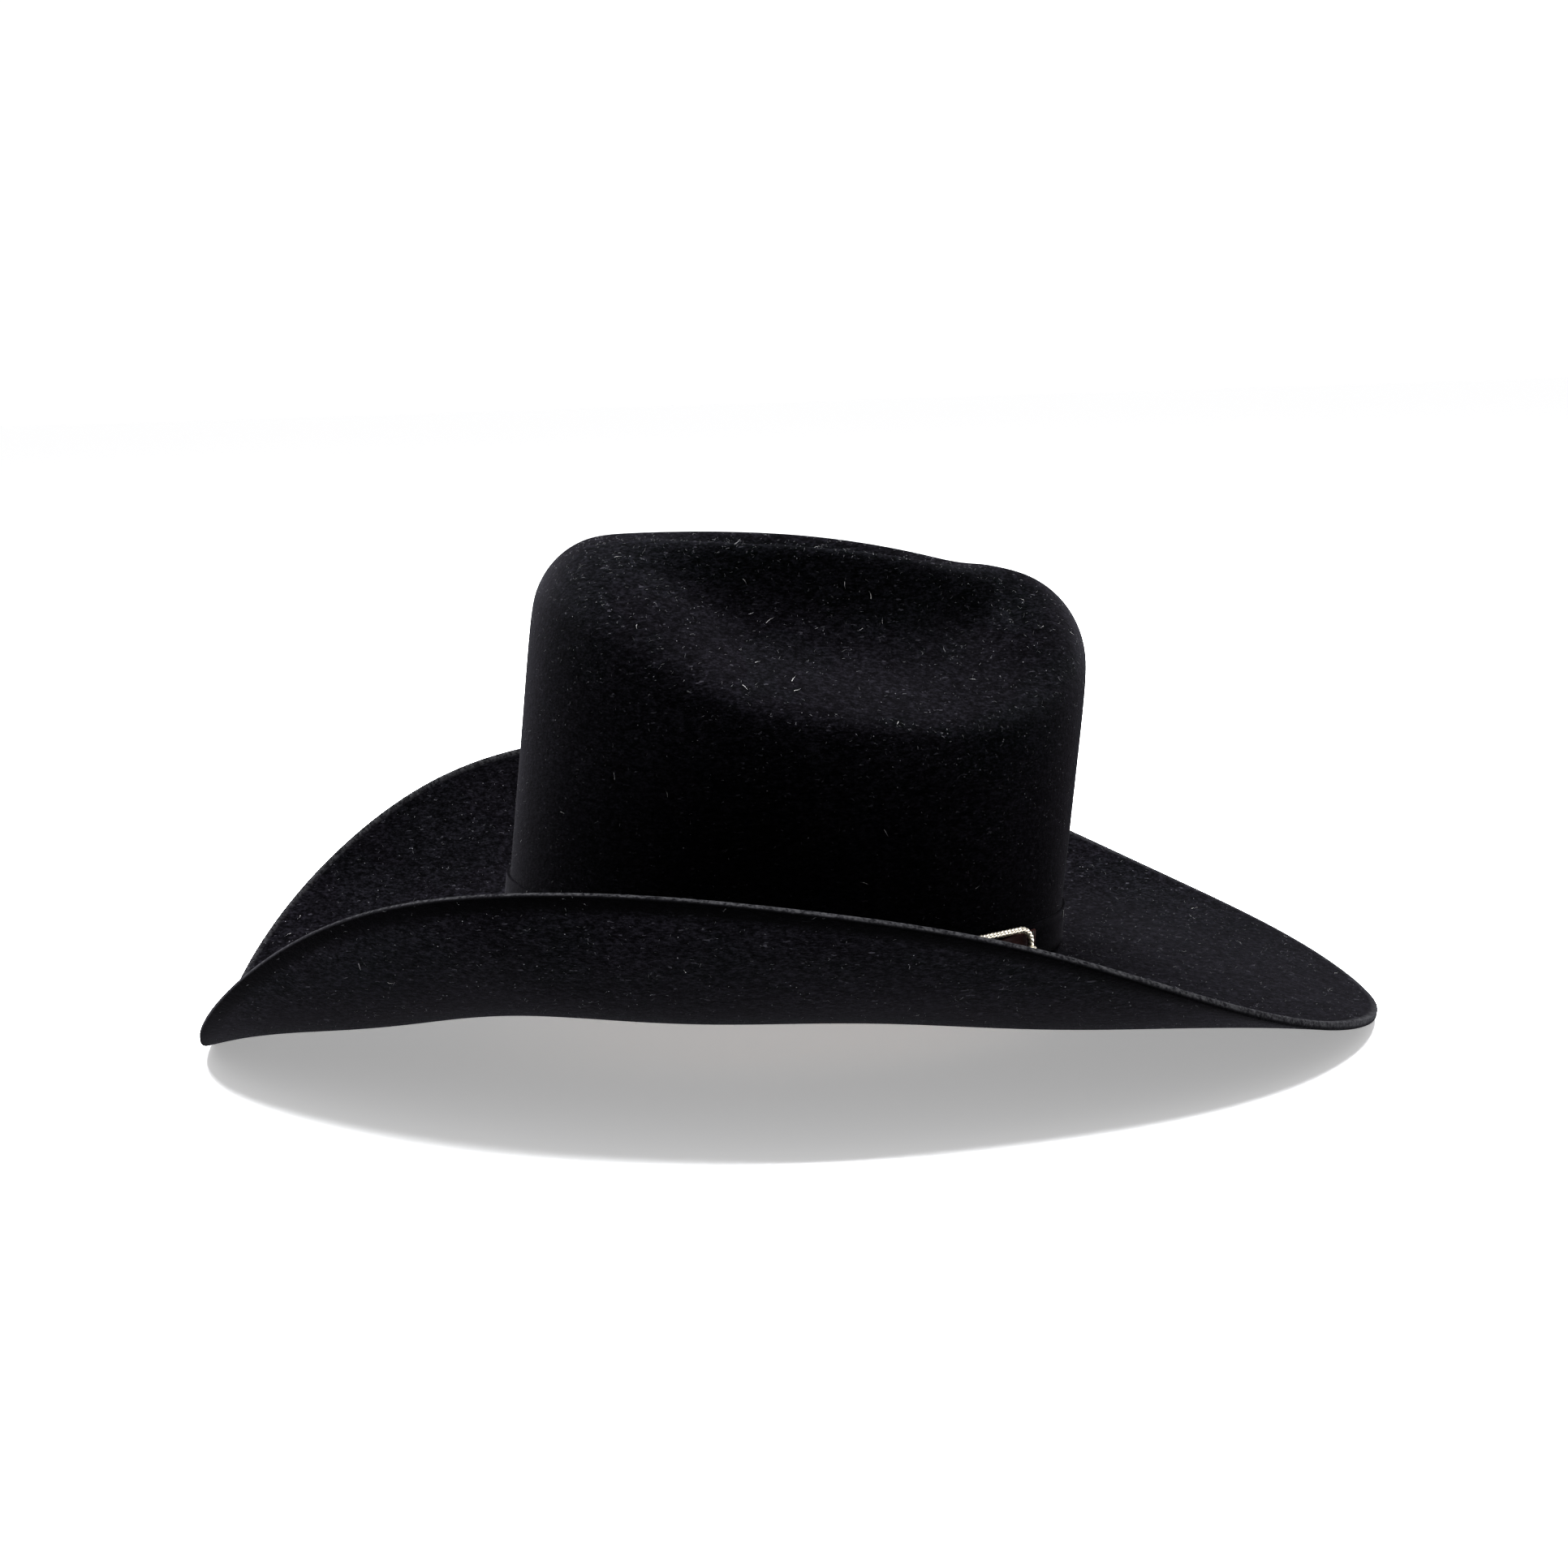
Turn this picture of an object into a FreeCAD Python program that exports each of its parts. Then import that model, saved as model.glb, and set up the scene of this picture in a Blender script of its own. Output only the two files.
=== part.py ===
import FreeCAD, Part
import math
import os

# Western felt hat. X points to the wearer's front, Y to the wearer's left, Z up. Lengths in mm.
# The hat stands on the front and back tips of its brim.

V = FreeCAD.Vector

STATIONS = 64
MERGED = 1e-6
MITRE_MOST = 1.5
QUARTERS = 4
SPAN_PARTS = 2

# Crown opening, an ellipse on a base line that dips to the front and bows a little at the sides.
BASE_X = -2.0
BASE_A = 100.0
BASE_B = 86.0
BASE_UP = 31.0
BASE_DIP = -9.0
BASE_BOW = 2.4
BOW_FADE = 60.0
FELT = 3.0

# Crown: upright wall leaning forward, rounded ends, a dent in each side and a crease along the top.
LEAN = math.radians(6.9)
WALL_IN = 0.6
CROWN_H = 141.5
CROWN_H_SLOPE = -1.5
CROWN_H_BOW = -3.0
ROUND_R = 32.25
ROUND_R_SLOPE = 3.25
RIM_X = -7.0
RIM_A = 68.0
RIM_B = 36.0
RIM_PINCH = 7.0
LEDGE_H = 82.0
LEDGE_RISE = 19.0
LEDGE_LOW_AT = 66.0
DENT_FRONT = (0.0, 36.0)
DENT_BACK = (98.0, 172.0)
CREASE = 26.0

# Shares of the way in from wall to rim and heights that draw the rounded shoulder or the dent.
WALL_SHARES = (0.06, 0.25, 0.5, 0.75)
ARC_STEP = math.radians(18)
DENT_IN = (0.0, 0.08, 0.42, 0.80, 1.03, 1.03)
DENT_UP = (0.0, 7.0, 14.0, 22.0)
RIM_DROP = (24.0, 6.0)

# Shares of the way out from the middle to the rim, and of the crease's depth there.
CREASE_OUT = (0.88, 0.68, 0.48, 0.28, 0.1, 0.0)
CREASE_DOWN = (0.0, 0.2, 0.64, 0.94, 1.0, 1.0)

# Brim: width along the cloth and its slope at the crown and at the edge, front to back every 22.5 deg.
BRIM_W = 117.0
BRIM_W_WAVES = (-4.0, -2.0, 4.0)
ROOT_SLOPES = (-9, -7, -11, -11, -11, -16, -22, -31, -23)
EDGE_SLOPES = (-14, -7, 22, 50, 62, 72, 69, 34, -16)
CURL = 1.3
CURL_WAVE = 0.3
BRIM_SHARES = (0.0, 0.05, 0.15, 0.275, 0.4, 0.525, 0.65, 0.775, 0.875, 0.95, 1.0)
BRIM_STEPS = 200
SHARE_STEPS = 40

# Band round the crown.
BAND_LOW = 3.0
BAND_TOP = 16.5
BAND_T = 1.2
BAND_GAP = 0.2
BAND_EASE = 0.42
BAND_OUT = BAND_GAP + BAND_T

# Strap and buckle on the wearer's right, a little forward.
BUCKLE_AT = math.radians(-44.6)
BUCKLE_H = 9.4
ARC_STEPS = 60
STRAP_W = 10.0
HEEL_A = -11.5
FRONT_A = 12.5
HEEL_O = 3.05
FRONT_O = 4.35
ROD_R = 1.15
HEEL_R = 0.7
RAIL_Z = 6.85
LEAF_T = 0.6
TAB_END = -29.0
BILLET_T = 1.0
BILLET_LOW = 1.65
BILLET_HIGH = 3.85
BILLET_FRONT = 18.0
BILLET_BACK = -42.0
BILLET_RISE = (6.0, 15.0)
BILLET_DROP = (28.0, 8.0)
BILLET_REST = 0.5
OVER_BAR = 0.65
OVER_BAR_LEN = 3.2
KEEPER_A = -23.0

# Inside: sweatband, its reed and the lining.
SWEAT_OUT = -4.2
SWEAT_T = 1.0
SWEAT_TOP = 55.0
REED_R = 1.0
REED_H = -1.6
REED_OUT = -4.7
TAPE_T = 0.4
LINING_OUT = -3.3
LINING_T = 0.4
LINING_LOW = 40.0
LINING_SEAM = 70.0
LINING_TOP = 93.0
PIPING_R = 0.8
TUBE_POINTS = 8

WALL_A = BASE_A - WALL_IN
WALL_B = BASE_B - WALL_IN * BASE_B / BASE_A
UP = V(math.sin(LEAN), 0, math.cos(LEAN))


def smooth(t):
    t = min(1.0, max(0.0, t))
    return t * t * (3 - 2 * t)


def wave(values, phi):
    """Even cosine series through values spaced equally from the front to the back."""
    n = len(values) - 1
    total = 0.0
    for j in range(n + 1):
        coef = 0.0
        for k, v in enumerate(values):
            end = 0.5 if k in (0, n) else 1.0
            coef += end * v * math.cos(j * k * math.pi / n)
        edge = 0.5 if j in (0, n) else 1.0
        total += edge * 2.0 / n * coef * math.cos(j * phi)
    return total


def angles():
    return [2 * math.pi * i / STATIONS for i in range(STATIONS)]


def normal_at(phi, a, b):
    v = V(math.cos(phi) / a, math.sin(phi) / b, 0)
    return v.normalize()


def crown_point(x, y, phi, h):
    """Point at height h up the leaning crown, over the plan position x, y at its base."""
    plane = BASE_UP + BASE_DIP * (x - BASE_X) / BASE_A
    fade = min(1.0, max(0.0, 1 - h / BOW_FADE))
    z = plane + BASE_BOW * math.cos(2 * phi) * fade
    return V(x, y, z) + UP * h


def wall_point(phi, h, out):
    n = normal_at(phi, WALL_A, WALL_B)
    x = BASE_X + WALL_A * math.cos(phi) + n.x * out
    y = WALL_B * math.sin(phi) + n.y * out
    return crown_point(x, y, phi, h)


def wall_row(h, out):
    return [wall_point(p, h, out) for p in angles()]


def crown_rows():
    """Rings of the crown's outside, from the middle of the top down to the base."""
    out = []
    for phi in angles():
        c = math.cos(phi)
        s = math.sin(phi)
        turn = math.degrees(math.acos(max(-1.0, min(1.0, c))))
        height = CROWN_H + CROWN_H_SLOPE * c + CROWN_H_BOW * math.cos(2 * phi)
        radius = ROUND_R + ROUND_R_SLOPE * c
        front = smooth((turn - DENT_FRONT[0]) / (DENT_FRONT[1] - DENT_FRONT[0]))
        back = smooth((turn - DENT_BACK[0]) / (DENT_BACK[1] - DENT_BACK[0]))
        dent = front * (1 - back)
        side = LEDGE_LOW_AT if turn < LEDGE_LOW_AT else 180 - LEDGE_LOW_AT
        away = abs(turn - LEDGE_LOW_AT) / side
        ledge = LEDGE_H + LEDGE_RISE * (1 - math.cos(math.pi * away)) / 2
        ledge = min(ledge, height - radius)
        wall = V(BASE_X + WALL_A * c, WALL_B * s, 0)
        rim = V(RIM_X + RIM_A * c, (RIM_B - RIM_PINCH * c) * s, 0)
        middle = V(RIM_X, 0, 0)
        line = [(wall, ledge * f) for f in WALL_SHARES]
        dent_line = [ledge + up for up in DENT_UP] + [height - drop for drop in RIM_DROP]
        for k, dent_h in enumerate(dent_line):
            plain_in = 1 - math.cos(ARC_STEP * k)
            plain_h = height - radius + radius * math.sin(ARC_STEP * k)
            u = (1 - dent) * plain_in + dent * DENT_IN[k]
            h = (1 - dent) * plain_h + dent * dent_h
            line.append((wall * (1 - u) + rim * u, h))
        for u, down in zip(CREASE_OUT, CREASE_DOWN):
            h = CROWN_H + CROWN_H_SLOPE * c * u + CROWN_H_BOW * math.cos(2 * phi) * u * u
            line.append((middle * (1 - u) + rim * u, h - CREASE * down))
        out.append([crown_point(p.x, p.y, phi, h) for p, h in line])
    return [[col[j] for col in out] for j in reversed(range(len(out[0])))]


def brim_rows():
    """Rings of the brim's top side, from the crown out to the edge."""
    cols = []
    for phi in angles():
        n = normal_at(phi, BASE_A, BASE_B)
        start = V(BASE_X + BASE_A * math.cos(phi), BASE_B * math.sin(phi), 0)
        z = BASE_UP + BASE_DIP * math.cos(phi) + BASE_BOW * math.cos(2 * phi)
        width = BRIM_W + sum(w * math.cos((k + 1) * phi) for k, w in enumerate(BRIM_W_WAVES))
        root = wave(ROOT_SLOPES, phi)
        edge = wave(EDGE_SLOPES, phi)
        power = CURL + CURL_WAVE * math.cos(2 * phi)
        reach = 0.0
        col = []
        for k in range(BRIM_STEPS + 1):
            if k % (BRIM_STEPS // SHARE_STEPS) == 0:
                col.append(start + n * reach + V(0, 0, z))
            mid = (k + 0.5) / BRIM_STEPS
            slope = math.radians(root + (edge - root) * mid ** power)
            reach += width / BRIM_STEPS * math.cos(slope)
            z += width / BRIM_STEPS * math.sin(slope)
        cols.append([col[round(SHARE_STEPS * s)] for s in BRIM_SHARES])
    return [[c[j] for c in cols] for j in range(len(BRIM_SHARES))]


def offset_rows(rows, dist):
    """The same rings moved dist along the surface normal, mitred where the surface bends."""
    out = []
    last = len(rows) - 1
    n = len(rows[0])
    for j, ring in enumerate(rows):
        new = []
        full = rows[j]
        if (ring[0] - ring[n // 2]).Length < MERGED:
            full = rows[1] if j == 0 else rows[last - 1]
        for i, p in enumerate(ring):
            around = full[(i + 1) % n] - full[i - 1]
            sides = []
            if j > 0:
                sides.append((p - rows[j - 1][i]).cross(around).normalize())
            if j < last:
                sides.append((rows[j + 1][i] - p).cross(around).normalize())
            mean = V(0, 0, 0)
            for s in sides:
                mean = mean + s
            mean.normalize()
            mitre = min(MITRE_MOST, 1 / max(MERGED, mean.dot(sides[0])))
            new.append(p + mean * dist * mitre)
        out.append(new)
    return out


def one_point(ring):
    mean = V(0, 0, 0)
    for p in ring:
        mean = mean + p
    mean = mean * (1.0 / len(ring))
    return [mean] * len(ring)


def through(ring):
    """Control points whose closed cubic curve runs through the ring's points."""
    n = len(ring)
    return [ring[i] * (4.0 / 3) - (ring[i - 1] + ring[(i + 1) % n]) * (1.0 / 6) for i in range(n)]


def net_surface(rows, closed=False):
    """Cubic surface that runs round through every ring and is guided by them the other way."""
    rings = [through(r) for r in rows]
    nu = len(rings[0])
    nv = len(rings)
    poles = [[rings[j][i] for j in range(nv)] for i in range(nu)]
    face = Part.BSplineSurface()
    around = list(range(nu + 1))
    if closed:
        across = list(range(nv + 1))
        face.buildFromPolesMultsKnots(poles, [1] * (nu + 1), [1] * (nv + 1), around, across, True, True, 3, 3)
        return face
    deg = min(3, nv - 1)
    across = list(range(nv - deg + 1))
    mults = [deg + 1] + [1] * (nv - deg - 1) + [deg + 1]
    face.buildFromPolesMultsKnots(poles, [1] * (nu + 1), mults, around, across, True, False, 3, deg)
    return face


def net_face(rows, closed=False):
    return net_surface(rows, closed).toShape()


def patches(rows):
    """The same surface as net_face, as a quilt of small faces that share their edges."""
    last = max(1, len(rows) - 3) * SPAN_PARTS
    step = STATIONS // QUARTERS
    faces = []
    for q in range(QUARTERS):
        for k in range(last):
            patch = net_surface(rows)
            patch.segment(q * step, (q + 1) * step, k / SPAN_PARTS, (k + 1) / SPAN_PARTS)
            faces.append(patch.toShape())
    return faces


def solid_of(faces):
    shell = Part.makeShell(faces)
    if len(faces) > 1:
        shell.sewShape()
    solid = Part.makeSolid(shell)
    if solid.Volume < 0:
        solid.reverse()
    return solid


def ring_solid(corners):
    """Ring of constant cross-section shape; corners are rings in order round the section."""
    faces = [net_face([corners[k - 1], corners[k]]) for k in range(len(corners))]
    return solid_of(faces)


def tube_ring(h, out, radius):
    """Round bead along the crown wall; the control points stand out so the curve has the radius."""
    reach = radius * 6 / (4 + 2 * math.cos(2 * math.pi / TUBE_POINTS))
    rows = []
    for k in range(TUBE_POINTS):
        t = 2 * math.pi * k / TUBE_POINTS
        rows.append(wall_row(h + reach * math.sin(t), out + reach * math.cos(t)))
    return solid_of([net_face(rows, closed=True)])


def arc_angle(a):
    """Ellipse parameter at the distance a along the wall from the buckle, positive to the front."""
    phi = BUCKLE_AT
    for k in range(ARC_STEPS):
        phi += a / ARC_STEPS / math.hypot(WALL_A * math.sin(phi), WALL_B * math.cos(phi))
    return phi


def plan(a, o):
    """Plan position at the distance a along the wall and o out from it."""
    phi = arc_angle(a)
    n = normal_at(phi, WALL_A, WALL_B)
    return V(BASE_X + WALL_A * math.cos(phi) + n.x * o, WALL_B * math.sin(phi) + n.y * o, 0)


TANGENT = V(-WALL_A * math.sin(BUCKLE_AT), WALL_B * math.cos(BUCKLE_AT), 0).normalize()
BAR_UP = (UP - TANGENT * UP.dot(TANGENT)).normalize()
OUTWARD = TANGENT.cross(BAR_UP)
BUCKLE_POINT = wall_point(BUCKLE_AT, BUCKLE_H, 0)
PLAN_OUT = normal_at(BUCKLE_AT, WALL_A, WALL_B)


def buckle_place():
    m = FreeCAD.Matrix(OUTWARD.x, TANGENT.x, BAR_UP.x, BUCKLE_POINT.x,
                       OUTWARD.y, TANGENT.y, BAR_UP.y, BUCKLE_POINT.y,
                       OUTWARD.z, TANGENT.z, BAR_UP.z, BUCKLE_POINT.z, 0, 0, 0, 1)
    return FreeCAD.Placement(m)


def local(a, o, z=0.0):
    """Strap coordinates to the buckle's own frame: x outward, y to the front, z up the crown."""
    d = plan(a, o) - plan(0, 0)
    return V(d.dot(PLAN_OUT), d.dot(TANGENT), z)


def place(shape):
    shape = shape.copy()
    shape.Placement = buckle_place().multiply(shape.Placement)
    return shape


def strip(path, thick, z_low, height):
    """Flat strap through path, a list of (a, o) points of its inner face."""
    inner = Part.BSplineCurve()
    inner.interpolate([local(a, o, z_low) for a, o in path])
    outer = Part.BSplineCurve()
    outer.interpolate([local(a, o + thick, z_low) for a, o in path])
    first = Part.makeLine(inner.StartPoint, outer.StartPoint)
    last = Part.makeLine(inner.EndPoint, outer.EndPoint)
    wire = Part.Wire([inner.toShape(), last, outer.toShape(), first])
    return Part.Face(wire).extrude(V(0, 0, height))


def box_at(a, o, size_o, size_a, size_z, z=0.0):
    """Box centred at strap coordinates a, o and turned with the wall there."""
    n = normal_at(arc_angle(a), WALL_A, WALL_B)
    turn = math.degrees(math.atan2(n.dot(TANGENT), n.dot(PLAN_OUT)))
    b = Part.makeBox(size_o, size_a, size_z, V(-size_o / 2, -size_a / 2, -size_z / 2))
    b.rotate(V(0, 0, 0), V(0, 0, 1), turn)
    b.translate(local(a, o, z))
    return b


def rod(p, q, radius):
    d = q - p
    return Part.makeCylinder(radius, d.Length, p, d)


def ball(p, radius):
    return Part.makeSphere(radius, p)


def billet_inner(a):
    """How far the loose strap end stands out from the crown wall."""
    rise = smooth((BILLET_RISE[0] - a) / BILLET_RISE[1])
    over_bar = OVER_BAR * math.exp(-((a - HEEL_A) / OVER_BAR_LEN) ** 2)
    drop = smooth((-a - BILLET_DROP[0]) / BILLET_DROP[1])
    high = BILLET_HIGH - BILLET_LOW
    return BILLET_LOW + BILLET_REST * drop + high * rise * (1 - drop) + over_bar


def steps_between(a0, a1, step):
    count = max(2, int(round(abs(a1 - a0) / step)))
    return [a0 + (a1 - a0) * k / count for k in range(count + 1)]


def wall_tangent(phi):
    return V(-WALL_A * math.sin(phi), WALL_B * math.cos(phi), 0).normalize()


def dash(phi, h, out, length, radius, upright=False):
    mid = wall_point(phi, h, out)
    way = UP if upright else wall_tangent(phi)
    return Part.makeCylinder(radius, length, mid - way * (length / 2), way)


PARTS = {}

# One piece of felt: crown, break line and brim, with the raw cut edge.
TOP_SIDE = crown_rows() + brim_rows()
UNDER_SIDE = offset_rows(TOP_SIDE, FELT)
if UNDER_SIDE[-1][0].z > TOP_SIDE[-1][0].z:
    UNDER_SIDE = offset_rows(TOP_SIDE, -FELT)
UNDER_SIDE[0] = one_point(UNDER_SIDE[0])
RAW_EDGE = [TOP_SIDE[-1], UNDER_SIDE[-1]]
PARTS["felt_body"] = solid_of(patches(TOP_SIDE) + patches(RAW_EDGE) + patches(UNDER_SIDE))

# The band is thinner at its lower edge, where the felt begins to turn out into the brim.
PARTS["hat_band"] = ring_solid([wall_row(BAND_LOW, BAND_GAP + BAND_EASE), wall_row(BAND_TOP, BAND_GAP),
                                wall_row(BAND_TOP, BAND_OUT), wall_row(BAND_LOW, BAND_OUT)])

TACK_ANGLES = (25, 75, 105, 155, 205, 255, 285, 345)
TACK_H = BAND_TOP - 1.5
TACK_LEN = 2.4
TACK_R = 0.22
TACKS = [dash(math.radians(t), TACK_H, BAND_OUT + TACK_R + 0.08, TACK_LEN, TACK_R, True) for t in TACK_ANGLES]
PARTS["band_tacks"] = Part.makeCompound(TACKS)

# Buckle frame: bent rod with a thinner heel bar, lying nearly flat on the band.
HEEL = local(HEEL_A, HEEL_O)
FRONT = local(FRONT_A, FRONT_O)
FRAME_LEN = (FRONT - HEEL).Length
FRAME_TILT = math.degrees(math.atan2(FRONT.x - HEEL.x, FRONT.y - HEEL.y))
CORNER_R = 5.4


def frame_place(shape):
    """From the frame's flat layout, heel bar on the Z axis, to its place on the hat."""
    shape.rotate(V(0, 0, 0), V(0, 0, 1), -FRAME_TILT)
    shape.translate(HEEL)
    return place(shape)


def corner(z_sign):
    """Quarter bend from the end of a side rail into the front bar."""
    start = V(0, FRAME_LEN - CORNER_R, z_sign * RAIL_Z)
    disc = Part.Face(Part.Wire(Part.makeCircle(ROD_R, start, V(0, 1, 0))))
    return disc.revolve(start - V(0, 0, z_sign * CORNER_R), V(1, 0, 0), -90 * z_sign)


FRAME = rod(V(0, 0, -RAIL_Z), V(0, 0, RAIL_Z), HEEL_R)
for z_sign in (-1, 1):
    z = z_sign * RAIL_Z
    FRAME = FRAME.fuse(rod(V(0, 0, z), V(0, FRAME_LEN - CORNER_R, z), ROD_R))
    FRAME = FRAME.fuse(ball(V(0, 0, z), ROD_R))
    FRAME = FRAME.fuse(corner(z_sign))
INNER_Z = RAIL_Z - CORNER_R
FRAME = FRAME.fuse(rod(V(0, FRAME_LEN, -INNER_Z), V(0, FRAME_LEN, INNER_Z), ROD_R))
PARTS["buckle_frame"] = frame_place(FRAME.removeSplitter())

# Prong: an eye on the heel bar, up through the strap's slot and onto the front bar.
EYE_IN = HEEL_R + 0.05
EYE_OUT = 1.3
EYE_W = 1.6
SHAFT_R = 0.55
SHAFT_START = V(0.4, 0.6, 0)
KNEE = V(1.55, 6.0, 0)
TIP = V(ROD_R + SHAFT_R + 0.05, FRAME_LEN + 0.3, 0)
EYE = Part.makeCylinder(EYE_OUT, EYE_W, V(0, 0, -EYE_W / 2), V(0, 0, 1))
PRONG = EYE.fuse(rod(SHAFT_START, KNEE, SHAFT_R)).fuse(ball(KNEE, SHAFT_R))
PRONG = PRONG.fuse(rod(KNEE, TIP, SHAFT_R)).fuse(ball(TIP, SHAFT_R))
PRONG = PRONG.cut(Part.makeCylinder(EYE_IN, 4 * EYE_W, V(0, 0, -2 * EYE_W), V(0, 0, 1)))
PARTS["buckle_prong"] = frame_place(PRONG.removeSplitter())

# Tab: strap doubled round the heel bar, with a slot for the prong's eye.
FOLD_IN = HEEL_R + 0.05
FOLD_OUT = FOLD_IN + LEAF_T
LEAF_GAP = 0.025
FOLD_EASE = 0.08
TAB_STEPS = steps_between(HEEL_A - 3.4, TAB_END, 2.6)
LOW_LEAF = [(HEEL_A, HEEL_O - FOLD_OUT), (HEEL_A - 1.0, HEEL_O - FOLD_OUT + FOLD_EASE)]
LOW_LEAF += [(a, HEEL_O - LEAF_GAP - LEAF_T) for a in TAB_STEPS]
TOP_LEAF = [(HEEL_A, HEEL_O + FOLD_IN), (HEEL_A - 1.0, HEEL_O + FOLD_IN - FOLD_EASE)]
TOP_LEAF += [(a, HEEL_O + LEAF_GAP) for a in TAB_STEPS]
Z_LOW = -STRAP_W / 2
FOLD = Part.makeCylinder(FOLD_OUT, STRAP_W, HEEL + V(0, 0, Z_LOW), V(0, 0, 1))
HEEL_TURN = math.degrees(math.atan2(local(HEEL_A, 1).y - local(HEEL_A, 0).y,
                                    local(HEEL_A, 1).x - local(HEEL_A, 0).x))
BEHIND = Part.makeBox(6 * FOLD_OUT, 3 * FOLD_OUT, STRAP_W, V(-3 * FOLD_OUT, -3 * FOLD_OUT, Z_LOW))
BEHIND.rotate(V(0, 0, 0), V(0, 0, 1), HEEL_TURN)
BEHIND.translate(HEEL)
TAB = FOLD.cut(BEHIND)
TAB = TAB.fuse(strip(LOW_LEAF, LEAF_T, Z_LOW, STRAP_W)).fuse(strip(TOP_LEAF, LEAF_T, Z_LOW, STRAP_W))
BORE = Part.makeCylinder(FOLD_IN, 2 * STRAP_W, HEEL - V(0, 0, STRAP_W), V(0, 0, 1))
TAB = TAB.cut(BORE)
SLOT_W = EYE_W + 0.6
EYE_SLOT_LEN = 4.6
TAB = TAB.cut(box_at(HEEL_A + 0.4, HEEL_O, 4 * FOLD_OUT, EYE_SLOT_LEN, SLOT_W))
PARTS["buckle_tab"] = place(TAB.removeSplitter())

# Loose strap end: through the frame, over the heel bar, through the keeper to its metal tip.
BILLET_PATH = [(a, billet_inner(a)) for a in steps_between(BILLET_FRONT, BILLET_BACK, 2.0)]
BILLET = strip(BILLET_PATH, BILLET_T, Z_LOW, STRAP_W)
PRONG_SLOT_A = -6.9
PRONG_SLOT_LEN = 12.2
BILLET = BILLET.cut(box_at(PRONG_SLOT_A, BILLET_HIGH, 6 * BILLET_T, PRONG_SLOT_LEN, SLOT_W))
PARTS["strap_billet"] = place(BILLET)

# Keeper loop round the tab and the billet.
KEEPER_T = 0.6
KEEPER_LEN = 4.0
KEEPER_FIT = 0.22
KEEPER_IN_LOW = HEEL_O - LEAF_GAP - LEAF_T - KEEPER_FIT
KEEPER_IN_HIGH = billet_inner(KEEPER_A) + BILLET_T + KEEPER_FIT
KEEPER_MID = (KEEPER_IN_LOW + KEEPER_IN_HIGH) / 2
KEEPER_OPEN = KEEPER_IN_HIGH - KEEPER_IN_LOW
KEEPER_SIDE = STRAP_W + 3 * KEEPER_FIT
KEEPER = box_at(KEEPER_A, KEEPER_MID, KEEPER_OPEN + 2 * KEEPER_T, KEEPER_LEN, KEEPER_SIDE + 2 * KEEPER_T)
KEEPER = KEEPER.cut(box_at(KEEPER_A, KEEPER_MID, KEEPER_OPEN, 2 * KEEPER_LEN, KEEPER_SIDE))
PARTS["keeper_loop"] = place(KEEPER)

# Metal tip: a thin cap over the end of the strap.
TIP_START = -36.5
CAP_T = 0.35
CAP_GAP = 0.08
CAP_STEP = 1.2
CAP_STEPS = steps_between(TIP_START, BILLET_BACK - CAP_GAP - CAP_T, CAP_STEP)
CAP_PATH = [(a, billet_inner(a) - CAP_GAP - CAP_T) for a in CAP_STEPS]
CAP_Z = STRAP_W / 2 + CAP_GAP + CAP_T
CAP = strip(CAP_PATH, BILLET_T + 2 * CAP_GAP + 2 * CAP_T, -CAP_Z, 2 * CAP_Z)
HOLLOW_STEPS = steps_between(TIP_START + 1.0, BILLET_BACK - CAP_GAP, CAP_STEP)
HOLLOW_PATH = [(a, billet_inner(a) - CAP_GAP) for a in HOLLOW_STEPS]
HOLLOW_Z = STRAP_W / 2 + CAP_GAP
CAP = CAP.cut(strip(HOLLOW_PATH, BILLET_T + 2 * CAP_GAP, -HOLLOW_Z, 2 * HOLLOW_Z))
PARTS["strap_tip"] = place(CAP)

RIVET_A = -40.0
RIVET_R = 0.7
RIVET_T = 0.35
RIVET_Z = 2.6
RIVET_SEAT = billet_inner(RIVET_A) + BILLET_T + CAP_GAP + CAP_T + 0.02
RIVETS = []
for z in (-RIVET_Z, RIVET_Z):
    seat = local(RIVET_A, RIVET_SEAT, z)
    way = local(RIVET_A, RIVET_SEAT + 1, z) - seat
    RIVETS.append(Part.makeCylinder(RIVET_R, RIVET_T, seat, way))
PARTS["tip_rivets"] = place(Part.makeCompound(RIVETS))

# A row of four stitches across the front end of the loose strap.
STITCH_R = 0.2
STITCH_LEN = 1.7
STITCH_PITCH = 2.6
STITCHES = []
for k in range(4):
    seat = local(BILLET_FRONT - 2.0, BILLET_LOW + BILLET_T + STITCH_R + 0.04, (k - 1.5) * STITCH_PITCH)
    STITCHES.append(rod(seat - V(0, 0, STITCH_LEN / 2), seat + V(0, 0, STITCH_LEN / 2), STITCH_R))
PARTS["strap_stitches"] = place(Part.makeCompound(STITCHES))

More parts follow.
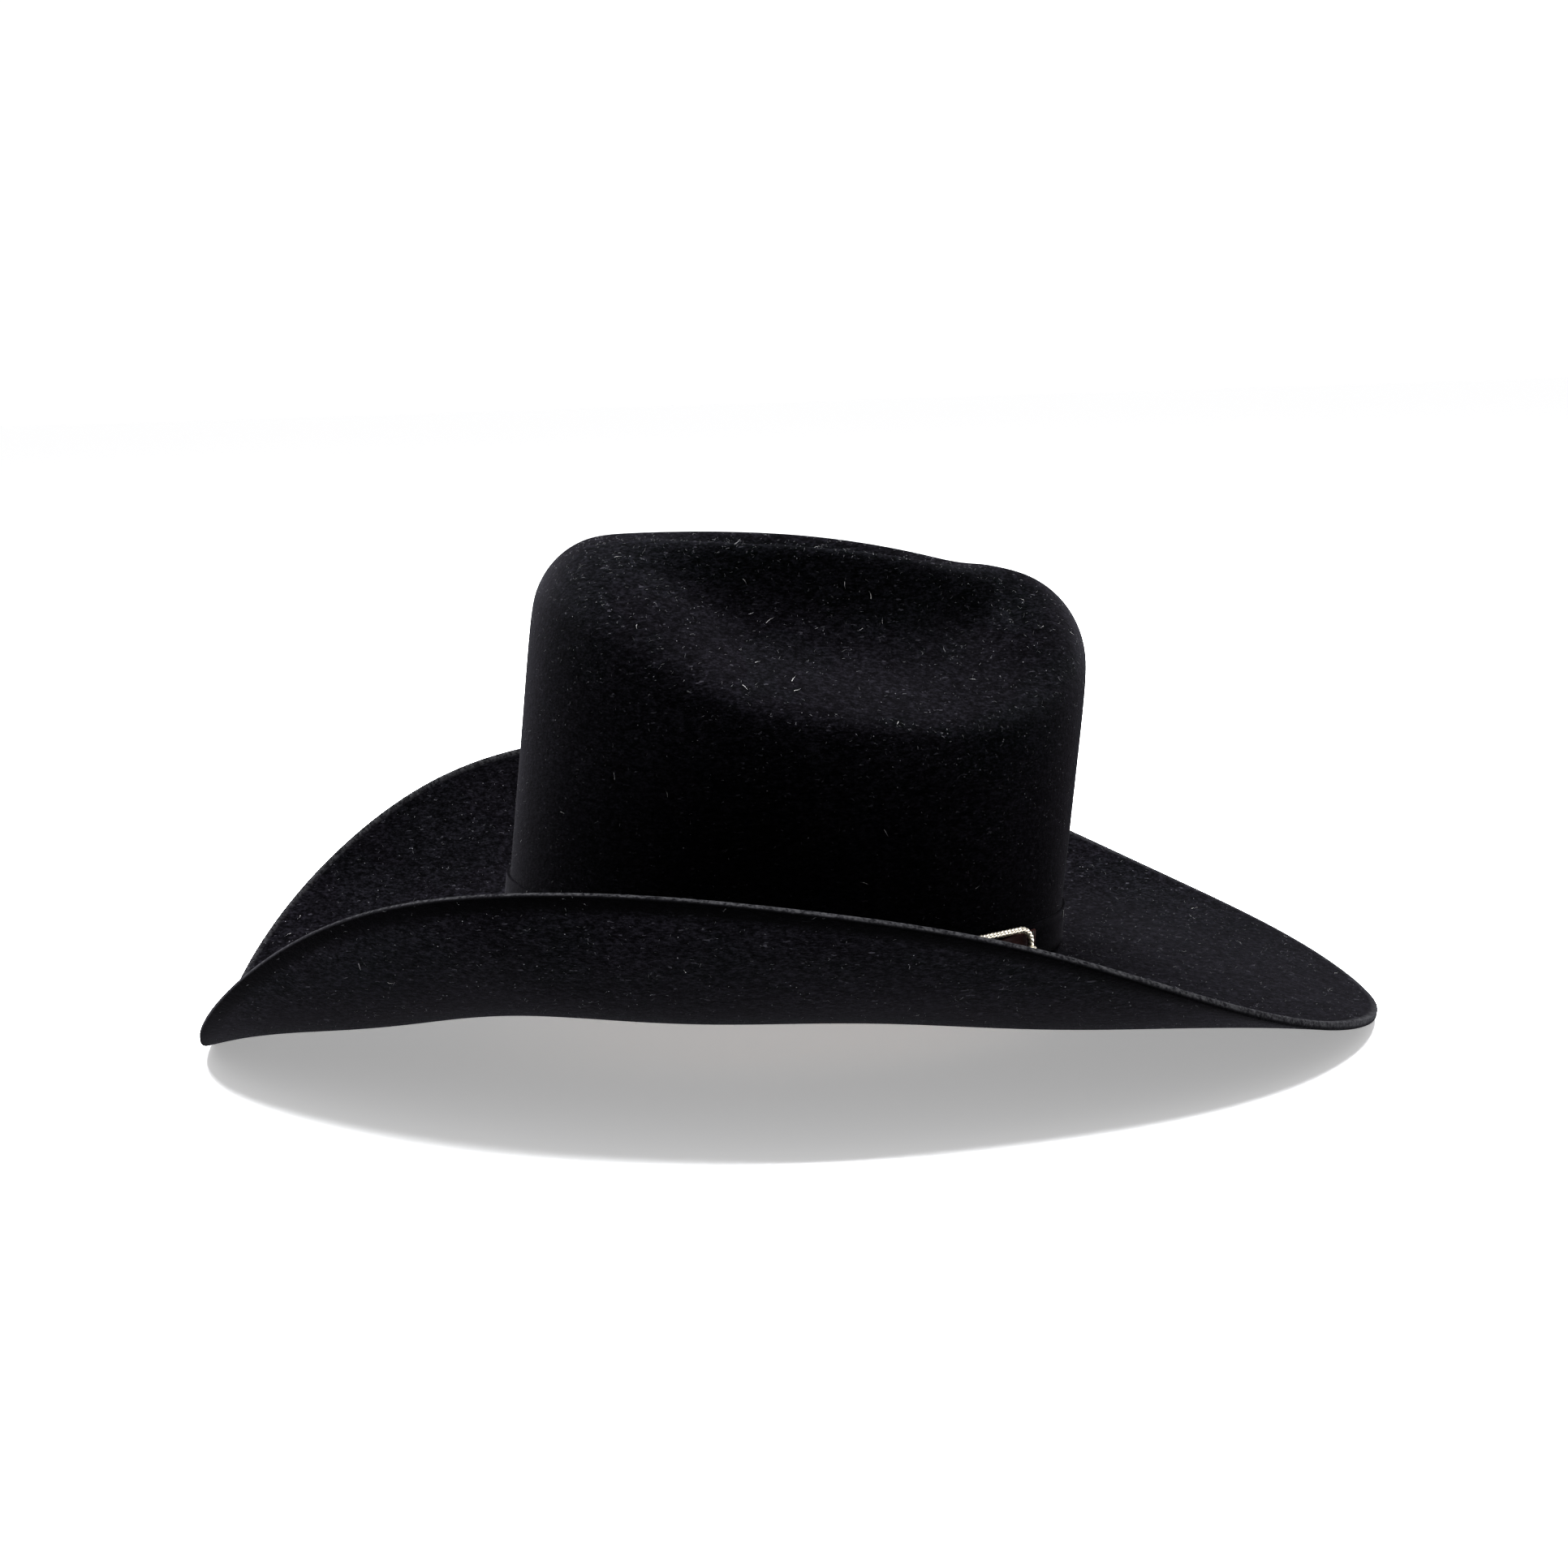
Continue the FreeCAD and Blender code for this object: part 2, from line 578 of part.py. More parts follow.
# Sweatband with its reed in a folded tape along the lower edge.
SWEAT_LOW = REED_H + REED_R + 0.3
PARTS["sweatband"] = ring_solid([wall_row(SWEAT_LOW, SWEAT_OUT), wall_row(SWEAT_TOP, SWEAT_OUT),
                                 wall_row(SWEAT_TOP, SWEAT_OUT - SWEAT_T),
                                 wall_row(SWEAT_LOW, SWEAT_OUT - SWEAT_T)])
PARTS["sweatband_reed"] = tube_ring(REED_H, REED_OUT, REED_R)
TAPE_IN = REED_R + 0.08
TAPE_UP = 3.4
TAPE_FLOOR = REED_H - TAPE_IN
PARTS["reed_tape"] = ring_solid([wall_row(TAPE_UP, REED_OUT + TAPE_IN),
                                 wall_row(TAPE_UP, REED_OUT + TAPE_IN + TAPE_T),
                                 wall_row(TAPE_FLOOR - TAPE_T, REED_OUT + TAPE_IN + TAPE_T),
                                 wall_row(TAPE_FLOOR - TAPE_T, REED_OUT - TAPE_IN - TAPE_T),
                                 wall_row(TAPE_UP, REED_OUT - TAPE_IN - TAPE_T),
                                 wall_row(TAPE_UP, REED_OUT - TAPE_IN),
                                 wall_row(TAPE_FLOOR, REED_OUT - TAPE_IN),
                                 wall_row(TAPE_FLOOR, REED_OUT + TAPE_IN)])
TAPE_STITCHES = 72
TAPE_STITCH_H = 1.6
TAPE_STITCH_LEN = 3.2
TAPE_STITCH_R = 0.24
TAPE_STITCH_OUT = REED_OUT - TAPE_IN - TAPE_T - TAPE_STITCH_R - 0.06
TURNS = [2 * math.pi * k / TAPE_STITCHES for k in range(TAPE_STITCHES)]
DASHES = [dash(t, TAPE_STITCH_H, TAPE_STITCH_OUT, TAPE_STITCH_LEN, TAPE_STITCH_R) for t in TURNS]
PARTS["sweatband_stitches"] = Part.makeCompound(DASHES)

# Back seam of the sweatband, with its ribbon bow.
SEAM_W = 9.0
SEAM_T = 0.5
SEAM_LOW = 5.0
SEAM_H = 44.0
SEAM_OUT = SWEAT_OUT - SWEAT_T - 0.55
SEAM_FOOT = wall_point(math.pi, SEAM_LOW, SEAM_OUT)


def back_place(shape):
    """Upright layout at the back of the opening, leaning with the crown, x toward the middle."""
    shape.rotate(V(0, 0, 0), V(0, 1, 0), math.degrees(LEAN))
    shape.translate(SEAM_FOOT)
    return shape


PARTS["seam_backing"] = back_place(Part.makeBox(SEAM_T, SEAM_W, SEAM_H, V(0, -SEAM_W / 2, 0)))
BOW_X = SEAM_T + 0.2
BOW_DEPTH = 3.6
BOW_H = 8.0
RIBBON_W = 4.0
RIBBON_T = 0.5
TAIL_LEN = 7.5
TAIL_TURN = 24.0
TAIL_Y = 2.2
TAIL_X = BOW_X + 1.0
TAIL_TOP = BOW_H - 2.4
LOOP_HALF = 6.0
LOOP_Y = 7.4
KNOT_W = 2.4
KNOT_ROUND = 0.8


def ribbon_loop(side):
    """Closed loop of ribbon, its eye open upward and downward."""
    outer = Part.Ellipse(V(0, 0, 0), LOOP_HALF, BOW_DEPTH / 2).toShape()
    inner = Part.Ellipse(V(0, 0, 0), LOOP_HALF - RIBBON_T, BOW_DEPTH / 2 - RIBBON_T).toShape()
    face = Part.Face(Part.Wire(outer)).cut(Part.Face(Part.Wire(inner)))
    loop = face.extrude(V(0, 0, RIBBON_W))
    loop.rotate(V(0, 0, 0), V(0, 0, 1), 90)
    loop.translate(V(BOW_X + BOW_DEPTH / 2, side * LOOP_Y, BOW_H - RIBBON_W / 2))
    return loop


def ribbon_tail(side):
    tail = Part.makeBox(RIBBON_T, RIBBON_W, TAIL_LEN, V(TAIL_X, -RIBBON_W / 2, -TAIL_LEN))
    tail.rotate(V(0, 0, 0), V(1, 0, 0), side * TAIL_TURN)
    tail.translate(V(0, side * TAIL_Y, TAIL_TOP))
    return tail


BOW = [back_place(ribbon_loop(s)) for s in (-1, 1)]
BOW += [back_place(ribbon_tail(s)) for s in (-1, 1)]
PARTS["bow_loops"] = Part.makeCompound(BOW)
KNOT = Part.makeBox(BOW_DEPTH, KNOT_W, RIBBON_W, V(BOW_X, -KNOT_W / 2, BOW_H - RIBBON_W / 2))
PARTS["bow_knot"] = back_place(KNOT.makeFillet(KNOT_ROUND, KNOT.Edges))

# Satin lining: side strip, oval tip and the piping between them.
PIPING_OUT = LINING_OUT - PIPING_R - 0.1
SIDE_TOP = LINING_SEAM - PIPING_R - 0.1
PARTS["lining_side"] = ring_solid([wall_row(LINING_LOW, LINING_OUT), wall_row(SIDE_TOP, LINING_OUT),
                                   wall_row(SIDE_TOP, LINING_OUT - LINING_T),
                                   wall_row(LINING_LOW, LINING_OUT - LINING_T)])
PARTS["lining_piping"] = tube_ring(LINING_SEAM, PIPING_OUT, PIPING_R)


def tip_row(share, h):
    """Ring of the lining's tip at a share of the way in from the wall."""
    ring = []
    for phi in angles():
        n = normal_at(phi, WALL_A, WALL_B)
        x = (WALL_A * math.cos(phi) + n.x * LINING_OUT) * (1 - share)
        y = (WALL_B * math.sin(phi) + n.y * LINING_OUT) * (1 - share)
        ring.append(crown_point(BASE_X + x, y, phi, h))
    return ring


# The lining's tip: shares of the way in from the wall and of its rise there.
TIP_LOW = LINING_SEAM + PIPING_R + 0.2
TIP_SHAPE = ((0.0, 0.0), (0.03, 0.22), (0.14, 0.5), (0.34, 0.76), (0.62, 0.95), (0.85, 1.0), (1.0, 1.0))
TIP_TOP = [tip_row(s, TIP_LOW + (LINING_TOP - TIP_LOW) * f) for s, f in TIP_SHAPE]
TIP_UNDER = offset_rows(TIP_TOP, LINING_T)
if TIP_UNDER[-2][0].z > TIP_TOP[-2][0].z:
    TIP_UNDER = offset_rows(TIP_TOP, -LINING_T)
TIP_UNDER[-1] = one_point(TIP_UNDER[-1])
PARTS["lining_tip"] = solid_of([net_face(TIP_TOP), net_face([TIP_TOP[0], TIP_UNDER[0]]),
                                net_face(TIP_UNDER)])

# The origin is under the middle of the hat, on the surface it stands on.
BOX = PARTS["felt_body"].optimalBoundingBox(False, False)
SHIFT = V(-(BOX.XMin + BOX.XMax) / 2, -(BOX.YMin + BOX.YMax) / 2, -BOX.ZMin)

os.makedirs("parts", exist_ok=True)
for name, shape in PARTS.items():
    shape.translate(SHIFT)
    solids = len(shape.Solids)
    box = shape.BoundBox
    print("%-20s %3d solids valid %s %10.1f mm3  %6.1f %6.1f  %6.1f %6.1f  %6.1f %6.1f" % (
        name, solids, shape.isValid(), shape.Volume, box.XMin, box.XMax, box.YMin, box.YMax,
        box.ZMin, box.ZMax))
    shape.exportStep("parts/" + name + ".step")

print("shift", SHIFT)
print("hinge point", buckle_place().multVec(HEEL) + SHIFT, "axis", BAR_UP)
KEEPER_WAY = place(Part.makeLine(local(KEEPER_A - 1, 0), local(KEEPER_A + 1, 0)))
WAY = KEEPER_WAY.Vertexes[1].Point - KEEPER_WAY.Vertexes[0].Point
print("keeper axis", WAY.normalize())
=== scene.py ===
import bpy, bmesh, math
import numpy as np
from mathutils import Matrix, Vector


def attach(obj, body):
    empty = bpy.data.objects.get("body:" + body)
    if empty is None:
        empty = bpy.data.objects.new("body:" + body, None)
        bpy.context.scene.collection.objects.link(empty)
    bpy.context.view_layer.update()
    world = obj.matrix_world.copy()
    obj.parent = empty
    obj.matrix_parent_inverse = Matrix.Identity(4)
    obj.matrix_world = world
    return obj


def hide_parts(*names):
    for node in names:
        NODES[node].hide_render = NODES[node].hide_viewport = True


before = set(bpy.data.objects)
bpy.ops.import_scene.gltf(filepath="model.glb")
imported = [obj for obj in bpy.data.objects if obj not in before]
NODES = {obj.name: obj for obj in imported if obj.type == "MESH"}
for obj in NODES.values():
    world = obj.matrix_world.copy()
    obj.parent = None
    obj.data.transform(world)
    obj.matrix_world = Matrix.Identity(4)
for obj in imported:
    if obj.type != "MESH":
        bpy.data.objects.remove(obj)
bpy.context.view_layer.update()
MM = 0.001

# ---- the hat's driving sizes, the same as the CAD model's, in millimetres and degrees ----
# A height h is measured from the break line along UP, the way the crown leans.
# A distance out is measured square to the crown's wall, in plan.
STATIONS = 64
BASE_X, BASE_A, BASE_B = -2.0, 100.0, 86.0
BASE_UP, BASE_DIP, BASE_BOW, BOW_FADE = 31.0, -9.0, 2.4, 60.0
FELT = 3.0
LEAN = math.radians(6.9)
WALL_IN = 0.6
WALL_SHARES = (0.06, 0.25, 0.5, 0.75)
CROWN_H, CROWN_H_SLOPE, CROWN_H_BOW = 141.5, -1.5, -3.0
ROUND_R, ROUND_R_SLOPE = 32.25, 3.25
ARC_STEP, ARC_ROWS = 18.0, 6
RIM_X, RIM_A, RIM_B, RIM_PINCH = -7.0, 68.0, 36.0, 7.0
LEDGE_H, LEDGE_RISE, LEDGE_LOW_AT = 82.0, 19.0, 66.0
DENT_FRONT, DENT_BACK = (0.0, 36.0), (98.0, 172.0)
DENT_IN = (0.0, 0.08, 0.42, 0.80, 1.03, 1.03)
DENT_UP = (0.0, 7.0, 14.0, 22.0)
RIM_DROP = (24.0, 6.0)
CREASE = 26.0
CREASE_IN = (0.88, 0.68, 0.48, 0.28, 0.1, 0.0)
CREASE_DOWN = (0.0, 0.2, 0.64, 0.94, 1.0, 1.0)
BRIM_W, BRIM_W_WAVES = 117.0, (-4.0, -2.0, 4.0)
ROOT_SLOPES = (-9, -7, -11, -11, -11, -16, -22, -31, -23)
EDGE_SLOPES = (-14, -7, 22, 50, 62, 72, 69, 34, -16)
CURL, CURL_WAVE = 1.3, 0.3
BRIM_SHARES = (0.0, 0.05, 0.15, 0.275, 0.4, 0.525, 0.65, 0.775, 0.875, 0.95, 1.0)
BRIM_STEPS, SHARE_STEPS = 200, 40
MITRE_MOST = 1.5
WALL_A = BASE_A - WALL_IN
WALL_B = BASE_B - WALL_IN * BASE_B / BASE_A
UP = np.array([math.sin(LEAN), 0.0, math.cos(LEAN)])
PHI = 2 * math.pi * np.arange(STATIONS) / STATIONS


# ---- the hat's surfaces: nets of points, and the smooth surfaces through them ----
def smooth(t):
    t = np.clip(t, 0.0, 1.0)
    return t * t * (3 - 2 * t)


def wave(values, phi):
    """A smooth even curve round the hat through values set at equal steps from front to back."""
    n = len(values) - 1
    total = 0.0
    for j in range(n + 1):
        terms = (v * math.cos(j * k * math.pi / n) * (0.5 if k in (0, n) else 1.0) for k, v in enumerate(values))
        total = total + (0.5 if j in (0, n) else 1.0) * 2.0 / n * sum(terms) * np.cos(j * phi)
    return total


def normal_at(phi, a, b):
    n = np.stack([np.cos(phi) / a, np.sin(phi) / b], -1)
    return n / np.linalg.norm(n, axis=-1, keepdims=True)


def wall_plan(phi):
    return np.stack([BASE_X + WALL_A * np.cos(phi), WALL_B * np.sin(phi)], -1)


def crown_point(xy, phi, h):
    """Points at height h over the break line, above the plan points xy."""
    plane = BASE_UP + BASE_DIP * (xy[..., 0] - BASE_X) / BASE_A
    z = plane + BASE_BOW * np.cos(2 * phi) * np.clip(1 - h / BOW_FADE, 0.0, 1.0)
    return np.concatenate([xy, z[..., None]], -1) + UP * (h + 0 * z)[..., None]


def wall_row(h, out, phi=PHI):
    return crown_point(wall_plan(phi) + normal_at(phi, WALL_A, WALL_B) * out, phi, h + 0 * phi)


def crown_rows(phi=PHI):
    """Rings of the crown's outer face, from the middle of the crease down to the wall's foot."""
    c, s = np.cos(phi), np.sin(phi)
    turn = np.degrees(np.arccos(np.clip(c, -1, 1)))
    height = CROWN_H + CROWN_H_SLOPE * c + CROWN_H_BOW * np.cos(2 * phi)
    radius = ROUND_R + ROUND_R_SLOPE * c
    dent = smooth((turn - DENT_FRONT[0]) / (DENT_FRONT[1] - DENT_FRONT[0]))
    dent = dent * (1 - smooth((turn - DENT_BACK[0]) / (DENT_BACK[1] - DENT_BACK[0])))
    away = np.abs(turn - LEDGE_LOW_AT) / np.where(turn < LEDGE_LOW_AT, LEDGE_LOW_AT, 180 - LEDGE_LOW_AT)
    ledge = np.minimum(LEDGE_H + LEDGE_RISE * (1 - np.cos(math.pi * away)) / 2, height - radius)
    wall = wall_plan(phi)
    rim = np.stack([RIM_X + RIM_A * c, (RIM_B - RIM_PINCH * c) * s], -1)
    rows = [(wall, ledge * f) for f in WALL_SHARES]
    for k in range(ARC_ROWS):
        arc = math.radians(ARC_STEP * k)
        plain_h = height - radius + radius * math.sin(arc)
        dent_h = ledge + DENT_UP[k] if k < len(DENT_UP) else height - RIM_DROP[k - len(DENT_UP)]
        u = (1 - dent) * (1 - math.cos(arc)) + dent * DENT_IN[k]
        rows.append((wall * (1 - u)[:, None] + rim * u[:, None], (1 - dent) * plain_h + dent * dent_h))
    for u, down in zip(CREASE_IN, CREASE_DOWN):
        h = CROWN_H + CROWN_H_SLOPE * c * u + CROWN_H_BOW * np.cos(2 * phi) * u * u
        rows.append((np.array([RIM_X, 0.0]) * (1 - u) + rim * u, h - CREASE * down))
    return np.array([crown_point(xy, phi, h) for xy, h in rows[::-1]])


def brim_rows(shares, phi=PHI):
    """Rings of the brim's upper face at shares of its width, the felt's length along it kept."""
    n = normal_at(phi, BASE_A, BASE_B)
    start = np.stack([BASE_X + BASE_A * np.cos(phi), BASE_B * np.sin(phi)], -1)
    z = BASE_UP + BASE_DIP * np.cos(phi) + BASE_BOW * np.cos(2 * phi)
    width = BRIM_W + sum(w * np.cos((k + 1) * phi) for k, w in enumerate(BRIM_W_WAVES))
    root, edge = wave(ROOT_SLOPES, phi), wave(EDGE_SLOPES, phi)
    power = CURL + CURL_WAVE * np.cos(2 * phi)
    reach = 0 * phi
    rings = []
    for k in range(BRIM_STEPS + 1):
        if k % (BRIM_STEPS // SHARE_STEPS) == 0:
            rings.append(np.concatenate([start + n * reach[:, None], z[:, None]], -1))
        slope = np.radians(root + (edge - root) * ((k + 0.5) / BRIM_STEPS) ** power)
        reach = reach + width / BRIM_STEPS * np.cos(slope)
        z = z + width / BRIM_STEPS * np.sin(slope)
    return np.array([rings[round(SHARE_STEPS * s)] for s in shares])


def unit_rows(v):
    return v / np.maximum(np.linalg.norm(v, axis=-1, keepdims=True), 1e-12)


def offset_rows(rows, dist):
    """The net moved square to itself, with its corners mitred."""
    ring = np.roll(rows, -1, 1) - np.roll(rows, 1, 1)
    closed = np.linalg.norm(ring, axis=-1).max(axis=1) < 1e-6
    if closed[0]:
        ring[0] = ring[1]
    if closed[-1]:
        ring[-1] = ring[-2]
    before, after = np.zeros_like(rows), np.zeros_like(rows)
    step = rows[1:] - rows[:-1]
    before[1:] = unit_rows(np.cross(step, ring[1:]))
    after[:-1] = unit_rows(np.cross(step, ring[:-1]))
    before[0], after[-1] = after[0], before[-1]
    mean = unit_rows(before + after)
    mitre = np.minimum(MITRE_MOST, 1 / np.maximum(0.1, (mean * before).sum(-1, keepdims=True)))
    return rows + mean * dist * mitre


def under_rows(rows, dist, row):
    """The net moved by dist to its lower side, judged at the given row."""
    under = offset_rows(rows, dist)
    return under if under[row, 0, 2] <= rows[row, 0, 2] else offset_rows(rows, -dist)


def through(rows):
    """Control points whose smooth ring passes close to the net's points."""
    return rows * (4.0 / 3) - (np.roll(rows, 1, 1) + np.roll(rows, -1, 1)) / 6.0


def closed_basis(n, t):
    """Weights of n control points round a closed cubic spline."""
    i = np.floor(t).astype(int)
    f = t - i
    w = np.stack([(1 - f) ** 3, 3 * f ** 3 - 6 * f ** 2 + 4, -3 * f ** 3 + 3 * f ** 2 + 3 * f + 1, f ** 3], -1) / 6
    weights = np.zeros((len(t), n))
    for k in range(4):
        weights[np.arange(len(t)), (i + k - 1) % n] += w[:, k]
    return weights


def open_basis(n, t, deg=3):
    """Weights of n control points along a clamped spline."""
    knots = np.concatenate([[0] * deg, np.arange(n - deg + 1), [n - deg] * deg]).astype(float)
    t = np.clip(t, 0, n - deg - 1e-9)
    weights = ((t[:, None] >= knots[:-1]) & (t[:, None] < knots[1:])).astype(float)
    for d in range(1, deg + 1):
        lo, hi = knots[d:-1] - knots[:-d - 1], knots[d + 1:] - knots[1:-d]
        rise = np.where(lo > 0, (t[:, None] - knots[:-d - 1]) / np.where(lo > 0, lo, 1), 0)
        fall = np.where(hi > 0, (knots[d + 1:] - t[:, None]) / np.where(hi > 0, hi, 1), 0)
        weights = rise * weights[:, :-1] + fall * weights[:, 1:]
    return weights


def surface(rows, tu, tv):
    deg = min(3, len(rows) - 1)
    along, around = open_basis(len(rows), tv, deg), closed_basis(rows.shape[1], tu)
    return np.einsum("vj,jik,ui->vuk", along, through(rows), around)


TOP = np.concatenate([crown_rows(), brim_rows(BRIM_SHARES)])
UNDER = under_rows(TOP, FELT, -1)
UNDER[0] = UNDER[0].mean(0)
N_ROWS = len(TOP)
SPANS = N_ROWS - 3
PROBE_U, PROBE_T = np.linspace(0, STATIONS, 720, endpoint=False), np.linspace(0, SPANS, 240)
probe = np.concatenate([surface(rows, PROBE_U, PROBE_T).reshape(-1, 3) for rows in (UNDER, TOP)])
SHIFT = np.array([-(probe[:, 0].min() + probe[:, 0].max()) / 2, 0.0, -probe[:, 2].min()])


# ---- mesh helpers ----
def linked_object(name, data):
    ob = bpy.data.objects.new(name, data)
    bpy.context.scene.collection.objects.link(ob)
    return ob


def mesh_from(name, verts, faces):
    """A mesh from points in the hat's millimetres."""
    me = bpy.data.meshes.new(name)
    me.from_pydata(((np.asarray(verts, float).reshape(-1, 3) + SHIFT) * MM).tolist(), [], faces)
    return me


def new_object(name, verts, faces, body="hat"):
    me = mesh_from(name, verts, faces)
    me.polygons.foreach_set("use_smooth", [True] * len(me.polygons))
    ob = linked_object(name, me)
    bm = bmesh.new()
    bm.from_mesh(me)
    bmesh.ops.recalc_face_normals(bm, faces=bm.faces)
    bm.to_mesh(me)
    bm.free()
    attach(ob, body)
    return ob


def point_values(ob, key, values):
    ob.data.attributes.new(key, "FLOAT", "POINT").data.foreach_set("value", values)


def grid_faces(nv, nu, closed_v=False):
    """Quads of nv rings of nu points each."""
    faces = []
    for j in range(nv if closed_v else nv - 1):
        k = (j + 1) % nv
        for i in range(nu):
            m = (i + 1) % nu
            faces.append((j * nu + i, j * nu + m, k * nu + m, k * nu + i))
    return faces


def fan_faces(tip, first, n, flip=False):
    """Triangles from one tip point to a ring of n points."""
    pairs = [(first + i, first + (i + 1) % n) for i in range(n)]
    return [(tip, b, a) if flip else (tip, a, b) for a, b in pairs]


def ring_mesh(name, section, nu=360, wobble=None):
    """A ring round the crown; section is a closed list of (height, out) points."""
    phi = 2 * math.pi * np.arange(nu) / nu
    rows = [wall_row(h, (out + (wobble(phi, h) if wobble else 0 * phi))[:, None], phi) for h, out in section]
    return new_object(name, np.array(rows), grid_faces(len(rows), nu, closed_v=True))


def rect_section(h0, h1, o0, o1, r, steps, extra):
    """A closed rounded rectangle in (height, out), with extra points along its tall sides."""
    r = min(r, (h1 - h0) / 2.01, (o1 - o0) / 2.01)
    points = []
    for ch, co, start in ((h1 - r, o1 - r, 0), (h0 + r, o1 - r, 90), (h0 + r, o0 + r, 180), (h1 - r, o0 + r, 270)):
        for k in range(steps + 1):
            a = math.radians(start + 90 * k / steps)
            points.append((ch + r * math.cos(a), co + r * math.sin(a)))
        if start in (0, 180):
            h_from, h_to, out = (h1 - r, h0 + r, o1) if start == 0 else (h0 + r, h1 - r, o0)
            points += [(h_from + (h_to - h_from) * k / (extra + 1), out) for k in range(1, extra + 1)]
    return points


def shades(tone, *factors):
    return [tuple(min(1, t * f) for t in tone) for f in factors]


# ---- materials: every pattern is procedural, in object coordinates, and sizes are in metres ----
class Mat:
    """A Principled material with a few helpers for its nodes."""

    def __init__(self, name, **values):
        self.m = bpy.data.materials.new(name)
        self.m.use_nodes = True
        self.t = self.m.node_tree
        self.p = self.t.nodes["Principled BSDF"]
        for key, value in values.items():
            self.p.inputs[key.replace("_", " ")].default_value = value
        self.co = self.t.nodes.new("ShaderNodeTexCoord").outputs["Object"]

    def node(self, kind, **props):
        """A new node; a name that isn't one of its sockets is set as a property."""
        n = self.t.nodes.new(kind)
        for key, value in props.items():
            if key in n.inputs:
                n.inputs[key].default_value = value
            else:
                setattr(n, key, value)
        return n

    def link(self, a, b):
        self.t.links.new(a, b)

    def noise(self, scale, detail=3.0, rough=0.55, vec=None, dist=0.0):
        n = self.node("ShaderNodeTexNoise", Scale=scale, Detail=detail, Roughness=rough, Distortion=dist)
        self.link(vec or self.co, n.inputs["Vector"])
        return n.outputs["Fac"]

    def stretch(self, sx, sy, sz):
        n = self.node("ShaderNodeMapping", Scale=(sx, sy, sz))
        self.link(self.co, n.inputs["Vector"])
        return n.outputs["Vector"]

    def attribute(self, name):
        return self.node("ShaderNodeAttribute", attribute_name=name).outputs["Fac"]

    def ramp(self, fac, stops):
        n = self.node("ShaderNodeValToRGB")
        elements = n.color_ramp.elements
        while len(elements) < len(stops):
            elements.new(0.5)
        for element, (position, colour) in zip(elements, stops):
            element.position = position
            element.color = (*colour, 1)
        self.link(fac, n.inputs["Fac"])
        return n.outputs["Color"]

    def math(self, op, a, b, clamp=False):
        n = self.node("ShaderNodeMath", operation=op, use_clamp=clamp)
        for socket, value in zip(n.inputs, (a, b)):
            if isinstance(value, (int, float)):
                socket.default_value = value
            else:
                self.link(value, socket)
        return n.outputs[0]

    def blend(self, *parts):
        """The sum of (socket, weight) pairs."""
        total = self.math("MULTIPLY", *parts[0])
        for part in parts[1:]:
            total = self.math("ADD", total, self.math("MULTIPLY", *part))
        return total

    def mix(self, fac, a, b):
        n = self.node("ShaderNodeMix", data_type="RGBA")
        for socket, value in ((n.inputs["Factor"], fac), (n.inputs[6], a), (n.inputs[7], b)):
            if isinstance(value, tuple):
                socket.default_value = (*value, 1)
            else:
                self.link(value, socket)
        return n.outputs[2]

    def cells(self, scale, feature):
        """The distance in a cell pattern."""
        n = self.node("ShaderNodeTexVoronoi", feature=feature, Scale=scale)
        self.link(self.co, n.inputs["Vector"])
        return n.outputs["Distance"]

    def bump(self, height, strength, dist):
        n = self.node("ShaderNodeBump", Strength=strength, Distance=dist)
        self.link(height, n.inputs["Height"])
        self.link(n.outputs["Normal"], self.p.inputs["Normal"])

    def colour(self, socket):
        self.link(socket, self.p.inputs["Base Color"])

    def rough(self, socket):
        self.link(socket, self.p.inputs["Roughness"])


FELT_SHEEN = 0.0145
FELT_TONE = (0.00056, 0.00053, 0.00070)
HAIR_TONE = (0.0095, 0.0092, 0.0110)
SPECK_TONE = (0.055, 0.054, 0.058)
# The two edge tones paint a highlight on the upper half of the brim's raw edge, where it catches the top light;
# SHADE_TONE is painted shade on the lower half of that edge and the underside next to it.
CUT_HIGHLIGHT_DARK, CUT_HIGHLIGHT_PALE = (0.0012, 0.0012, 0.0014), (0.013, 0.013, 0.0137)
SHADE_TONE = (0.0001, 0.0001, 0.0001)
NAP_DEPTH = 0.0004


